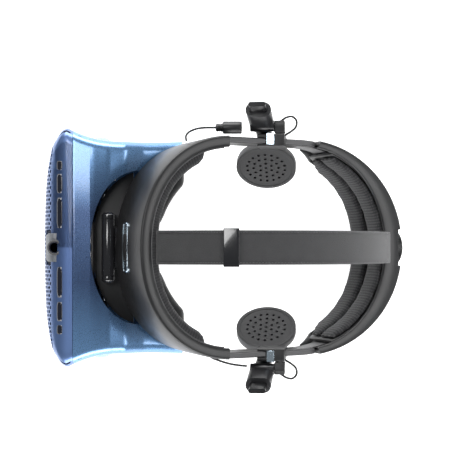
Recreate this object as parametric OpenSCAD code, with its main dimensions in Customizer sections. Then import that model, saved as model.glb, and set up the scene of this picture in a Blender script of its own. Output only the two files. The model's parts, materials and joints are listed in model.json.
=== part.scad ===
// Head-worn display with a hinged visor, a sliding rear cradle and two swing-down ear speakers.
// Millimetres. +Z is up, the visor faces -Y and the wearer's left is +X.
// The origin is under the middle of the object, on the surface that it stands on.

/* [Visor] */
// Width across the front corners
visor_w = 202; // [180:1:216]
// Height of the visor
visor_h = 104; // [96:1:116]
// Depth from the front to the rear edge of the side walls
visor_depth = 120; // [114:1:132]
// Depth of the front plate, up to its seam with the housing
faceplate_depth = 30; // [26:1:34]
// How far the front plate's corners curve back
face_bow = 25; // [18:1:26]
// Width of the housing at its waist
waist_w = 180; // [166:1:188]
// Wall of the visor's shells
visor_wall = 2.4; // [1.8:0.2:3.2]
// Half width of the recess round the flip hinge
recess_half_w = 66; // [50:1:70]

/* [Flip hinge] */
// Radius of the hinge barrel
barrel_r = 5.6; // [4.8:0.1:6.4]
// Length of the barrel without its end caps
barrel_len = 47.2; // [38:0.4:56]
// Radius of the hinge pin
pin_r = 2; // [1.5:0.1:2.5]
// Running clearance round every pin and shaft
run_gap = 0.05; // [0.03:0.01:0.09]

/* [Head ring] */
// Width of the head ring at the temples
ring_w = 184; // [170:1:196]
// Length of the front half of the ring, measured in its own plane
ring_front = 82; // [74:1:90]
// Length of the straight stretch along the arms
ring_straight = 64; // [56:1:74]
// Length of the rear half of the ring
ring_rear = 99.5; // [90:0.5:110]
// Slope of the ring, high at the front and low at the rear
ring_tilt = 25; // [20:1:28]
// Height of the front shell
halo_h = 62; // [54:1:66]
// Wall of the front shell
halo_wall = 3; // [2:0.2:4]
// Height of the rear cradle
rear_h = 57.5; // [50:0.5:64]
// Height of the side arms
arm_h = 26; // [22:1:30]
// Thickness of the side arms
arm_t = 5; // [4:0.2:6]
// Thickness of the forehead pad at its middle
pad_t = 13; // [9:0.5:15]

/* [Top strap] */
// Width of the strap
strap_w = 27; // [20:0.5:32]
// Thickness of the strap
strap_t = 2; // [1.4:0.1:3]

/* [Size dial] */
// Radius of the dial
dial_r = 17; // [14:0.5:19]
// Pitch radius of the dial's pinion
pinion_r = 5; // [4:0.25:6]
// Thickness of the two racks
rack_t = 1.2; // [0.8:0.1:1.4]
// Height of the two racks
rack_h = 18; // [16:1:20]

/* [Ear speakers] */
// Radius of the speaker's face
ear_r = 26.5; // [22:0.5:29]
// Outward tilt of the hanger at rest
hanger_tilt = 13; // [10:1:15]
// Upward tilt of the speaker's face at rest
ear_tilt = 39; // [34:1:42]
// Width of the hanger bar
bar_w = 14; // [10:0.5:16]
// Thickness of the hanger bar
bar_t = 4; // [3:0.2:5]
// Length of the sleeve that the bar slides in
sleeve_len = 38; // [32:1:42]

/* [Optics] */
// Radius of each lens
lens_r = 24; // [20:0.5:25]
// Spacing of the two lenses at rest
lens_gap = 66.5; // [62:0.5:70]
// Radius of the lens screw
screw_r = 2; // [1.6:0.1:2.4]
// Radius of the lens adjusting wheel
wheel_r = 9; // [7.5:0.5:9]

/* [Hidden] */
$fn = 48;

blue = [0.40, 0.52, 0.74];
black = [0.12, 0.12, 0.13];
dark = [0.2, 0.2, 0.21];
grey = [0.33, 0.33, 0.35];
steel = [0.78, 0.8, 0.83];

steps = 24;                       // sides of a quarter of each curved outline
seat_gap = 0.3;                   // gap between moving shells
tilt_cos = cos(ring_tilt);
tilt_sin = sin(ring_tilt);

// Visor
front_y = -166;                   // foremost line of the visor
seam_y = front_y + faceplate_depth;
visor_rear_y = front_y + visor_depth;
waist_y = -100;                   // narrowest line of the housing
flare = visor_w / 2 - waist_w / 2;
lip_y = front_y + face_bow;       // widest line of the front
tail_flare = 3;                   // flare of the side walls at their rear edge
recess_y = -121;                  // front end of the hinge recess
recess_len = 46;                  // its depth in plan
recess_drop = 14;                 // its depth below the visor's top
face_cy = 12;                     // centre of the round face seat
face_r = 95;                      // radius of the face seat
cushion_t = 12;                   // thickness of the face cushion
frame_t = 3;                      // thickness of its frame

// Flip hinge
barrel_y = -106.6;
barrel_z = visor_h - 6;
cap_len = 5.6;

// Head ring: u across, v along the sloping plane, w square to it
front_n = 2.15;                   // squareness of the front half
rear_n = 2.05;                    // squareness of the rear half
rear_v = ring_straight + ring_rear;
ring_z = rear_v * tilt_sin + rear_h * tilt_cos;
arm_top = -8;                     // top edge of the arms
rear_start = ring_straight + 16;  // tips of the rear cradle
lip_inset = [5, 18];              // rim width of the cradle at its tips and at its middle
plate_t = 2;
rear_pad_t = 6;
rack_w = arm_top - arm_h / 2 - 1; // middle height of the racks
dial_v = rear_v - 4.5;            // front face of the dial
dial_t = 9;

plate_w = 40;                     // plate behind the liner that carries the hinge

// Ear speakers
hanger = [ring_w / 2 + 10.4, 22, ring_z - 25];
hanger_lean = 6.3;
bar_x = 4;                        // the bar stands outboard of its hinge
bar_len = 111;
sleeve_w = 13;
clip_len = 23;
neck = 7;                         // from the bar's foot to the cup's pivot

// Rearmost point of the dial, which ends the object
rear_y = (dial_v + dial_t) * tilt_cos + (rack_w + dial_r) * tilt_sin;
y_mid = (front_y + rear_y) / 2;

module place() { translate([0, -y_mid, 0]) children(); }
module ring_frame() { place() translate([0, 0, ring_z]) rotate([-ring_tilt, 0, 0]) children(); }
module both() { children(); mirror([1, 0, 0]) children(); }
module side(s) { if (s > 0) children(); else mirror([1, 0, 0]) children(); }
module hanger_frame() {
    place() translate(hanger) rotate([hanger_lean, 0, 0]) children();
}
module swing_frame() { hanger_frame() rotate([0, hanger_tilt, 0]) children(); }
module along_x() { rotate([90, 0, 90]) children(); }
module along_y() { rotate([90, 0, 0]) children(); }

function curve(a, b, n, t) = [a * sign(cos(t)) * pow(abs(cos(t)), 2 / n),
                              b * sign(sin(t)) * pow(abs(sin(t)), 2 / n)];
function arc(a, b, n, from, to, count) =
    [for (i = [0:count]) curve(a, b, n, from + (to - from) * i / count)];

// The outline of the head ring, drawn in from its outside by inset
module ring_outline(inset) {
    a = ring_w / 2 - inset;
    polygon(concat(arc(a, ring_front - inset, front_n, 180, 360, 2 * steps),
        [for (p = arc(a, ring_rear - inset, rear_n, 0, 180, 2 * steps)) p + [0, ring_straight]]));
}
module ring_band(outer, inner, top, bottom) {
    translate([0, 0, bottom]) linear_extrude(top - bottom) difference() {
        ring_outline(outer);
        ring_outline(inner);
    }
}
// A half ring at the rear, between two half ellipses
module rear_band(a_out, b_out, a_in, b_in, top, bottom, start) {
    translate([0, ring_straight, bottom]) linear_extrude(top - bottom) intersection() {
        difference() {
            polygon(arc(a_out, b_out, rear_n, 0, 360, 4 * steps));
            polygon(arc(a_in, b_in, rear_n, 0, 360, 4 * steps));
        }
        translate([-200, start - ring_straight]) square([400, 300]);
    }
}
module v_slab(from, to) { translate([-200, from, -200]) cube([400, to - from, 400]); }
module round_box(size, r) {
    linear_extrude(size[2]) translate([-size[0] / 2, -size[1] / 2]) rounded(size[0], size[1], r);
}
module rounded(w, h, r) {
    translate([r, 0]) square([w - 2 * r, h]);
    translate([0, r]) square([w, h - 2 * r]);
    for (x = [r, w - r], y = [r, h - r]) translate([x, y]) circle(r);
}
module y_rod(r, y0, y1) { translate([0, y1, 0]) along_y() cylinder(r = r, h = y1 - y0); }
module x_rod(r, x0, x1) { translate([x0, 0, 0]) rotate([0, 90, 0]) cylinder(r = r, h = x1 - x0); }

// A tube along a chain of points, one ring of eight corners at each
function unit(v) = v / norm(v);
function run(points, i) = unit(points[min(i + 1, len(points) - 1)] - points[max(i - 1, 0)]);
module tube(points, d) {
    sides = 8;
    last = len(points) - 1;
    rings = [for (i = [0:last]) let (t = run(points, i), a = unit(cross(t, [0.31, 0.2, 0.93])),
        b = cross(t, a)) for (k = [0:sides - 1])
            points[i] + d / 2 * (cos(360 * k / sides) * a + sin(360 * k / sides) * b)];
    walls = [for (i = [0:last - 1], k = [0:sides - 1]) let (n = (k + 1) % sides)
        [i * sides + k, i * sides + n, (i + 1) * sides + n, (i + 1) * sides + k]];
    ends = [[for (k = [sides - 1:-1:0]) k], [for (k = [0:sides - 1]) last * sides + k]];
    polyhedron(rings, concat(walls, ends));
}
// A smooth run through chosen points
function knot(p, i) = p[max(0, min(i, len(p) - 1))];
function smooth(p, n) = concat([for (i = [0:len(p) - 2], k = [0:n - 1]) let (t = k / n,
    a = knot(p, i - 1), b = knot(p, i), c = knot(p, i + 1), d = knot(p, i + 2))
    0.5 * (2 * b + (c - a) * t + (2 * a - 5 * b + 4 * c - d) * t * t
        + (3 * b - a - 3 * c + d) * t * t * t)], [p[len(p) - 1]]);

// Visor outlines
function side_x(y) = y < waist_y
    ? waist_w / 2 + flare * pow((waist_y - y) / (waist_y - lip_y), 2)
    : waist_w / 2 + tail_flare * pow((y - waist_y) / (visor_rear_y - waist_y), 2);
module visor_plan(inset) {
    bow = arc(visor_w / 2 - inset, face_bow - inset, 2, 180, 360, 2 * steps);
    left = [for (i = [1:steps]) let (y = lip_y + (visor_rear_y - lip_y) * i / steps)
        [side_x(y) - inset, y]];
    right = [for (i = [steps:-1:1]) [-left[i - 1][0], left[i - 1][1]]];
    polygon(concat([for (p = bow) p + [0, lip_y]], left, right));
}
// The visor's outline seen from the side
module visor_side(inset) {
    half = visor_h / 2 - inset;
    nose = arc(faceplate_depth - inset, half, 2.6, 90, 270, 2 * steps);
    polygon(concat([for (p = nose) p + [seam_y, visor_h / 2]],
        [[visor_rear_y + 6, inset], [visor_rear_y, 14], [visor_rear_y, visor_h - 36 - inset],
         [-60, visor_h - 27 - inset], [-78, visor_h - 20 - inset], [-104, visor_h - 2 - inset],
         [-116, visor_h - inset]]));
}
module visor_solid(inset) {
    intersection() {
        linear_extrude(visor_h + 1) visor_plan(inset);
        translate([-150, 0, 0]) along_x() linear_extrude(300) visor_side(inset);
    }
}
module y_slab(from, to) { translate([-200, from, -10]) cube([400, to - from, 300]); }
module face_bore(r) { translate([0, face_cy, -10]) cylinder(r = r, h = 300, $fn = 96); }
module recess_outline(inset) {
    translate([0, recess_y + recess_len]) polygon(concat(
        arc(recess_half_w - inset, recess_len - inset, 2.2, 180, 360, 2 * steps),
        [[recess_half_w - inset, 60], [-recess_half_w + inset, 60]]));
}
// The opening for the nose, at the visor's lower rear
module nose_cut(grow) {
    translate([0, -40, -1]) along_y() linear_extrude(60)
        polygon([[-26 - grow, -1], [-9 - grow, 34 + grow], [9 + grow, 34 + grow], [26 + grow, -1]]);
}

// ---- Visor ----
vent_half = [14, 80];             // the vents run between these half widths
module vents() {
    for (s = [-1, 1], low = [0, 1]) translate([0, 0, low ? 8 : visor_h - 16])
        translate([s * (vent_half[0] + vent_half[1]) / 2, seam_y - 16, 4])
            cube([vent_half[1] - vent_half[0], 12, 8], center = true);
}
module lens_port(x, z, r) { translate([x, front_y + 20, z]) along_y() cylinder(r = r, h = 30); }
top_camera = [24, 18, 9];
camera_y = front_y + 14;
front_camera_x = 38;
side_camera = [-118, 54, 9];      // y, z and radius of the side cameras
module camera_bay(grow) {
    for (z = [visor_h - 13 - grow, 4 - grow])
        translate([0, camera_y + 1, z]) round_box([top_camera[0] + 2 * grow,
            top_camera[1] + 2 * grow, top_camera[2] + 2 * grow], 5);
}
module faceplate() color(blue) place() difference() {
    intersection() { visor_solid(0); y_slab(front_y - 1, seam_y); }
    intersection() { visor_solid(visor_wall); y_slab(front_y, seam_y + 1); }
    vents();
    for (x = [-1, 1]) lens_port(x * front_camera_x, visor_h / 2, 7);
    camera_bay(0.2);
}
module faceplate_backing() color(black) place() difference() {
    intersection() { visor_solid(visor_wall + 0.2); y_slab(front_y, seam_y - 2); }
    intersection() { visor_solid(visor_wall + 1.2); y_slab(front_y, seam_y); }
    for (x = [-1, 1]) lens_port(x * front_camera_x, visor_h / 2, 7);
    camera_bay(0.2);
}
module visor_housing() color(blue) place() difference() {
    intersection() { visor_solid(0); y_slab(seam_y, visor_rear_y + 1); }
    intersection() { visor_solid(visor_wall); y_slab(seam_y - 1, visor_rear_y - visor_wall); }
    translate([0, 0, visor_h - 60]) linear_extrude(80) recess_outline(0);
    face_bore(face_r + frame_t);
    nose_cut(0);
    both() translate([0, side_camera[0], side_camera[1]]) x_rod(side_camera[2] + 0.2, 60, 120);
    translate([0, button_y, button_z]) x_rod(button_r + seat_gap, 60, 120);
    translate([wheel_x, screw_y, screw_z]) translate([0, -wheel_r - 1, -30])
        cube([wheel_len + 1, 2 * wheel_r + 2, 29]);
    translate([port_x - port_depth, port_y - 6.2, port_z - 3.2]) cube([30, 12.4, 6.4]);
}
cover_t = 2;                      // thickness of the recess cover
module recess_cover() color(dark) place() intersection() {
    translate([0, 0, visor_h - 60]) linear_extrude(60 - visor_wall) recess_outline(0.2);
    translate([-150, 0, 0]) along_x() linear_extrude(300) polygon([
        [recess_y - 5, visor_h - recess_drop - cover_t], [recess_y - 5, visor_h + 9],
        [recess_y + cover_t, visor_h + 9], [recess_y + cover_t, visor_h - recess_drop],
        [-87, visor_h - 21], [-87, visor_h - 21 - cover_t],
        [recess_y + 10, visor_h - recess_drop - cover_t]]);
}
module hinge_caps() color(black) place() difference() {
    both() translate([barrel_len / 2 + 0.3, barrel_y, barrel_z]) {
        x_rod(barrel_r, 0, cap_len - 2);
        rotate([0, 90, 0]) translate([0, 0, cap_len - 2]) cylinder(r1 = barrel_r, r2 = barrel_r - 2, h = 2);
        translate([0, -barrel_r * 0.7, -recess_drop + 6.5]) cube([cap_len - 1, barrel_r * 1.4, 6]);
    }
    translate([0, barrel_y, barrel_z]) x_rod(pin_r + run_gap, -barrel_len / 2 - 4, barrel_len / 2 + 4);
}
screw_y = -121;
screw_z = 12;
wheel_x = -70;
wheel_len = 6;
module chassis() color(dark) place() difference() {
    union() {
        difference() {
            intersection() { visor_solid(visor_wall + 0.1); y_slab(seam_y + 4.5, seam_y + 7.5); }
            translate([0, seam_y + 20, visor_h / 2]) along_y() translate([-64, -34]) linear_extrude(40)
                rounded(128, 68, 6);
        }
        for (x = [-52, 0, 52]) translate([x - 3, seam_y + 5, visor_wall + 0.2])
            cube([6, screw_y - seam_y - 5 + 4, screw_z + 2]);
    }
    translate([0, screw_y, screw_z]) {
        x_rod(screw_r + run_gap, -80, 80);
        x_rod(wheel_r + 0.7, wheel_x - 0.5, wheel_x + wheel_len + 1.5);
    }
    at_screws() cylinder(r = 1, h = 12, center = true);
}
module at_screws() for (x = [-70, 70], z = [22, visor_h - 24])
    translate([x, seam_y + 9, z]) along_y() children();
module main_board() color([0.1, 0.3, 0.16]) place() translate([-76, seam_y + 2.4, 17])
    cube([152, 1.6, visor_h - 34]);
module heat_sink() color(steel) place() translate([-32, seam_y - 6, 30]) {
    translate([0, 5, 0]) cube([64, 3, 44]);
    for (i = [0:15]) translate([i * 4.15, -4, 0]) cube([1.4, 9.1, 44]);
}
module fan() color(black) place() translate([0, seam_y - 10.2, 52]) difference() {
    union() {
        along_y() cylinder(r = 17, h = 7);
        translate([-17, -7, -17]) cube([34, 7, 20]);
    }
    translate([0, 1, 0]) along_y() difference() { cylinder(r = 15, h = 6.5); cylinder(r = 6, h = 6.5); }
}
module display_panels() color([0.05, 0.06, 0.1]) place()
    both() translate([3, seam_y + 7.7, visor_h / 2 - 31]) cube([58, 2, 62]);
module centre_cameras() color(grey) place() intersection() {
    for (z = [visor_h - 13, 4]) translate([0, camera_y + 1, z]) difference() {
        round_box(top_camera, 5);
        translate([0, 0, z > 20 ? 6 : -1]) cylinder(r = 5, h = 4);
    }
    visor_solid(0.2);
}
module front_cameras() color(black) place() both()
    translate([front_camera_x, front_y + 15, visor_h / 2]) along_y() difference() {
        cylinder(r = 6.6, h = 13);
        translate([0, 0, 12]) cylinder(r = 4, h = 2);
    }
module side_cameras() color([0.65, 0.85, 0.93]) place() both() difference() {
    translate([0, side_camera[0], side_camera[1]]) intersection() {
        x_rod(side_camera[2], 82, 110);
        translate([side_x(side_camera[0]) - 7, 0, 0]) sphere(r = 12.5);
    }
}
module window(half_w, low, high) {
    translate([0, 0, low]) along_y() linear_extrude(140) translate([-half_w, 0])
        rounded(2 * half_w, high - low, 12);
}
module gasket_frame() color(dark) place() difference() {
    intersection() { visor_solid(visor_wall + 0.3); face_bore(face_r + frame_t - 0.1); y_slab(-120, visor_rear_y); }
    face_bore(face_r);
    window(66, 24, visor_h - 34);
    nose_cut(1);
}
module face_cushion() color(black) place() difference() {
    intersection() {
        visor_solid(visor_wall + 2.4);
        face_bore(face_r - 0.1);
        y_slab(-120, visor_rear_y - 1);
    }
    face_bore(face_r - cushion_t);
    window(70, 20, visor_h - 38);
    nose_cut(3);
}
port_x = 93;
port_y = -62;
port_z = 44;
port_depth = 9;
module cable_port() color(black) place() difference() {
    translate([port_x - port_depth - 1, port_y - 6, port_z - 3]) cube([port_depth - 0.5, 12, 6]);
    translate([port_x - port_depth + 1, port_y - 4.6, port_z - 2.1]) cube([20, 9.2, 4.2]);
}
module housing_screws() color(steel) place() at_screws() { cylinder(r = 2.2, h = 1.5); cylinder(r = 1, h = 4); }
module ipd_wheel() color(black) place() translate([wheel_x + 0.5, screw_y, screw_z]) difference() {
    x_rod(wheel_r, 0, wheel_len);
    x_rod(screw_r, -1, wheel_len + 1);
    for (i = [0:15]) rotate([i * 22.5, 0, 0]) translate([0, 0, wheel_r + 0.4]) x_rod(0.9, -1, wheel_len + 1);
}
module lens_screw() color(steel) place() translate([0, screw_y, screw_z]) x_rod(screw_r, wheel_x, 58);
module lens_holder() difference() {
    union() {
        translate([lens_gap / 2, -94, visor_h / 2]) along_y() cylinder(r = lens_r + 2.2, h = 9);
        translate([lens_gap / 2 - 5, -103, screw_z - 4.5]) cube([10, 5, visor_h / 2 - lens_r - screw_z + 5]);
        translate([lens_gap / 2 - 5, screw_y - 4.5, screw_z - 4.5]) cube([10, -98 - screw_y + 4.5, 9]);
    }
    translate([lens_gap / 2, -90, visor_h / 2]) along_y() cylinder(r = lens_r, h = 20);
    translate([0, screw_y, screw_z]) x_rod(screw_r + run_gap, 0, 80);
}
module lens_holder_left() color(black) place() side(1) lens_holder();
module lens_holder_right() color(black) place() side(-1) lens_holder();
module lens() translate([lens_gap / 2, -95.5, visor_h / 2]) along_y() intersection() {
    cylinder(r = lens_r, h = 6);
    translate([0, 0, 3 + 60 - 6.5]) sphere(r = 60, $fn = 96);
}
module lens_left() color([0.8, 0.9, 1, 0.5]) place() side(1) lens();
module lens_right() color([0.8, 0.9, 1, 0.5]) place() side(-1) lens();
button_y = -84;
button_z = 30;
button_r = 5;
module power_button() color(black) place() translate([0, button_y, button_z])
    x_rod(button_r, side_x(button_y) - 3.5, side_x(button_y) + 1.4);

// ---- Head ring, front ----
halo_end = -4;                    // where the front shell meets the arms
pad_end = -19;
module halo_profile(bottom) {
    translate([-150, 0, 0]) along_x() linear_extrude(300) polygon([[-90, 1], [-90, -bottom],
        [-44, -bottom], [-38, -bottom + 3], [-33, -bottom + 10], [-24, arm_top - arm_h - 2],
        [halo_end, arm_top - arm_h], [halo_end, 1]]);
}
module front_band(outer, inner, bottom, top) {
    intersection() {
        ring_band(outer, inner, top, -bottom);
        halo_profile(bottom);
    }
}
module halo_shell() color(black) ring_frame() difference() {
    union() {
        front_band(0, halo_wall, halo_h, 0);
        front_band(halo_wall - 0.5, halo_wall + 6, 2, 0);
    }
    badge_seat(0.1);
}
// A plain plate with round ends, set into the front of the shell
badge = [42, 13, 1.6];            // length, height and thickness
module badge_seat(grow) {
    translate([0, -ring_front - 1, -38]) along_y() translate([0, 0, -3.2]) linear_extrude(2.2)
        translate([-badge[0] / 2 - grow, -badge[1] / 2 - grow])
            rounded(badge[0] + 2 * grow, badge[1] + 2 * grow, badge[1] / 2 - 0.1);
}
module badge_plate() color([0.7, 0.85, 0.93]) ring_frame() badge_seat(0);
module halo_liner() color(dark) ring_frame() difference() {
    front_band(halo_wall, halo_wall + 2, halo_h - 1, -2.2);
    translate([-24, -90, -halo_h - 1]) cube([48, 20, 42]);
}
module forehead_pad() color(grey) ring_frame() intersection() {
    translate([0, 0, -halo_h + 6]) linear_extrude(halo_h - 9) difference() {
        ring_outline(halo_wall + 2.3);
        polygon(concat(arc(ring_w / 2 - halo_wall - 14.5, ring_front - 6.3 - pad_t, 2.1, 180, 360, 2 * steps),
            [[ring_w / 2 - halo_wall - 14.5, 60], [-ring_w / 2 + halo_wall + 14.5, 60]]));
    }
    difference() {
        v_slab(-100, pad_end);
        translate([-plate_w / 2 - 0.3, -ring_front, -halo_h - 4]) cube([plate_w + 0.6, halo_wall + 5.8, 42]);
    }
    halo_profile(halo_h - 6);
}
module hinge_bracket() color(black) place() difference() {
    union() {
        translate([0, barrel_y, barrel_z]) x_rod(barrel_r, -barrel_len / 2, barrel_len / 2);
        translate([-17, barrel_y, barrel_z - 4.6]) cube([34, 13, 3]);
        translate([-18.5, barrel_y + 11, barrel_z - 5]) cube([37, 4, 8]);
        translate([0, 0, ring_z]) rotate([-ring_tilt, 0, 0])
            translate([-plate_w / 2, -ring_front + halo_wall + 3.2, -halo_h - 3]) cube([plate_w, 2.4, 40]);
    }
    translate([0, barrel_y, barrel_z]) x_rod(pin_r, -80, 80);
}
module hinge_pin() color(steel) place() translate([0, barrel_y, barrel_z])
    x_rod(pin_r, -barrel_len / 2 - 3.8, barrel_len / 2 + 3.8);

// ---- Arms and clips ----
module arm() difference() {
    intersection() {
        ring_band(0, arm_t, arm_top, arm_top - arm_h);
        v_slab(halo_end, rear_start - seat_gap);
        translate([0, -200, -200]) cube([200, 500, 400]);
    }
    rear_band(ring_w / 2 - 3.8, ring_rear - 5, ring_w / 2 - 5.4, ring_rear - 6.9,
        rack_w + rack_h / 2 + 0.4, rack_w - rack_h / 2 - 0.4, ring_straight);
}
module arm_left() color(dark) ring_frame() side(1) arm();
module arm_right() color(dark) ring_frame() side(-1) arm();
clip_y = [8.5, 20];               // the hinge knuckle of the clip
clip_in = -hanger[0] + ring_w / 2 - arm_t - 2;
module clip() difference() {
    hanger_frame() {
        translate([clip_in, -3, -28]) cube([10.4, clip_len, 32]);
        translate([-6, clip_y[0] + 2.8, -9]) cube([10, clip_y[1] - clip_y[0] - 2.8, 13]);
        y_rod(4.6, clip_y[0] + 2.8, clip_y[1]);
    }
    ring_frame() ring_band(0, arm_t, arm_top, arm_top - arm_h);
    hanger_frame() y_rod(pin_r, -30, 18);
}
module clip_left() color(dark) side(1) clip();
module clip_right() color(dark) side(-1) clip();
module clip_strips() color(steel) both() hanger_frame() translate([clip_in + 1.5, 5, 4]) cube([9.5, 6.4, 0.8]);
module hanger_pins() color(steel) both() hanger_frame() y_rod(pin_r, -8, 17.8);

// ---- Leads ----
// Points of each free lead, from the ring to its far end
lead_d = 1.8;
lead_front_right = [[-88, -40, 118], [-92, -40.5, 116], [-95.5, -38, 114], [-98, -33, 112.5],
    [-99.2, -27, 111.5], [-99.5, -21, 111], [-99.5, -16, 111]];
lead_front_left = [[89.5, -22, 106], [92, -19, 106], [94, -14, 106], [96, -8, 106],
    [97.5, -2, 105.5], [98.4, 4, 105], [99, 10, 104.5]];
lead_loop = [[106, 38, 98], [109, 43, 101], [109.5, 48, 103], [106, 51.5, 103],
    [101, 51, 101], [97.5, 47, 98], [96, 44, 94], [95.2, 42.6, 89]];
connector_y = [-16, 6];
module at_world() { place() children(); }
module lead(points, s) at_world() side(s) tube(smooth(points, 4), lead_d);
module lead_connector() color(dark) place() translate([-99.5, 0, 111]) {
    y_rod(5.2, connector_y[0] + 6, connector_y[1]);
    y_rod(3.4, connector_y[0], connector_y[0] + 6);
}
module front_lead_right() color(black) at_world() tube(smooth(lead_front_right, 4), lead_d);
module front_lead_left() color(black) at_world() tube(smooth(lead_front_left, 4), lead_d);
module loop_lead_left() color(black) lead(lead_loop, 1);
module loop_lead_right() color(black) lead(lead_loop, -1);

// ---- Top strap ----
strap_path = [[-62, 147], [-35, 173], [95, 201], [135, 62]];
function bezier(p, t) = pow(1 - t, 3) * p[0] + 3 * t * pow(1 - t, 2) * p[1]
    + 3 * t * t * (1 - t) * p[2] + pow(t, 3) * p[3];
module strap_outline(half) {
    centre = [for (i = [0:2 * steps]) bezier(strap_path, i / (2 * steps))];
    last = len(centre) - 1;
    normals = [for (i = [0:last]) let (d = unit(centre[min(i + 1, last)] - centre[max(i - 1, 0)]))
        [-d[1], d[0]]];
    polygon(concat([for (i = [0:last]) centre[i] + half * normals[i]],
        [for (i = [last:-1:0]) centre[i] - half * normals[i]]));
}
module top_strap() color(dark) place() translate([-strap_w / 2, 0, 0]) along_x()
    linear_extrude(strap_w) strap_outline(strap_t / 2);
buckle_y = [-9, 3.5];
module strap_buckle() color(black) place() difference() {
    translate([-strap_w / 2 - 1.6, 0, 0]) along_x() linear_extrude(strap_w + 3.2) intersection() {
        strap_outline(strap_t / 2 + 2);
        translate([buckle_y[0], 0]) square([buckle_y[1] - buckle_y[0], 300]);
    }
    translate([-strap_w / 2 - 0.1, 0, 0]) along_x() linear_extrude(strap_w + 0.2)
        strap_outline(strap_t / 2 + 0.1);
}

// ---- Rear cradle ----
rim_a = ring_w / 2 - lip_inset[0] - 1;
rim_b = ring_rear - lip_inset[1];
plate_a = ring_w / 2 - 5.6;
plate_b = ring_rear - 13;
shell_wall = 2.4;
notch_w = 32;
corner_w = -34;                   // where the cut across those corners starts
// The cradle's lower front corners, cut away so that the ear speakers swing past them
module front_corners() along_x() translate([0, 0, -150]) linear_extrude(300)
    polygon([[rear_start - 10, corner_w], [rear_start + 4, corner_w - 2], [rear_start + 32, -rear_h - 3],
        [rear_start - 10, -rear_h - 3]]);
module rear_shell() color(black) ring_frame() difference() {
    rear_band(ring_w / 2, ring_rear, rim_a, rim_b, 0, -rear_h, rear_start);
    rear_band(ring_w / 2 - shell_wall, ring_rear - shell_wall, 40, 40, -shell_wall, -rear_h + shell_wall,
        ring_straight);
    translate([0, 0, rack_w]) y_rod(dial_r + 1, dial_v, dial_v + 30);
    translate([-notch_w / 2, dial_v, rack_w]) cube([notch_w, 30, 80]);
    translate([0, 0, rack_w]) y_rod(3 + run_gap, 120, 200);
    translate([-strap_w / 2 - 1, rear_v - 16.8, -5]) cube([strap_w + 2, 7, 10]);
    front_corners();
}
module rear_plate() color(dark) ring_frame() difference() {
    rear_band(plate_a, plate_b, plate_a - plate_t, plate_b - plate_t, -shell_wall, -rear_h + shell_wall,
        rear_start + 12);
    translate([0, 0, 2]) front_corners();
}
module rear_pad(top, bottom) ring_frame() difference() {
    rear_band(plate_a - plate_t - 0.2, plate_b - plate_t - 0.2, plate_a - plate_t - rear_pad_t,
        plate_b - plate_t - rear_pad_t, top, bottom, rear_start + 14);
    translate([0, 0, 3]) front_corners();
}
module rear_pad_upper() color(grey) rear_pad(-3.2, rack_w - 4.5);
module rear_pad_lower() color(grey) rear_pad(rack_w - 7, -rear_h + 3.2);
module size_dial() color(black) ring_frame() translate([0, 0, rack_w]) difference() {
    y_rod(dial_r, dial_v + seat_gap, dial_v + dial_t);
    for (i = [0:35]) rotate([0, i * 10 + 5, 0]) translate([0, 0, dial_r + 0.5]) y_rod(1.1, 100, 200);
}
module dial_pinion() color(grey) ring_frame() translate([0, 0, rack_w]) {
    y_rod(3, plate_b + ring_straight + 0.5, dial_v + seat_gap);
    translate([0, plate_b + ring_straight + 4.5 + 4, 0]) along_y() linear_extrude(7.5)
        polygon([for (i = [0:47]) (pinion_r + (i % 4 < 2 ? 0.5 : -0.9)) * [cos(i * 7.5), sin(i * 7.5)]]);
}
module rack_straps() color(grey) ring_frame() difference() {
    union() {
        intersection() {
            rear_band(ring_w / 2 - 4, ring_rear - 5.5, ring_w / 2 - 4 - rack_t, ring_rear - 5.5 - rack_t,
                rack_w + rack_h / 2, rack_w - rack_h / 2, ring_straight + 1);
            translate([-40, 0, -100]) cube([200, 300, 200]);
        }
        intersection() {
            rear_band(ring_w / 2 - 4, ring_rear - 7.1, ring_w / 2 - 4 - rack_t, ring_rear - 7.1 - rack_t,
                rack_w + rack_h / 2, rack_w - rack_h / 2, ring_straight + 1);
            translate([-160, 0, -100]) cube([200, 300, 200]);
        }
    }
    translate([-34, 120, rack_w - pinion_r - 1]) cube([68, 80, 2 * pinion_r + 2]);
}

// ---- Ear speakers ----
foot_z = -69;                     // the bar's foot, measured along the bar
bar_top = foot_z + bar_len;
sleeve_z = -9;
sleeve_d = 21;
module bar_section(w, d, h) round_box([w, d, h], min(w, d) / 2 - 0.1);
module sleeve() swing_frame() difference() {
    union() {
        translate([bar_x, 0, sleeve_z]) bar_section(sleeve_w, sleeve_d, sleeve_len);
        y_rod(4.6, -9, clip_y[0] + 2.5);
    }
    translate([bar_x, 0, -60]) bar_section(bar_t + 0.3, bar_w + 0.3, 160);
    translate([bar_x, 0, sleeve_z + sleeve_len + 5]) rotate([0, -38, 0]) translate([-30, -30, 0]) cube([60, 60, 30]);
    y_rod(pin_r + run_gap, -8.2, 40);
}
module sleeve_left() color(grey) side(1) sleeve();
module sleeve_right() color(grey) side(-1) sleeve();
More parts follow.
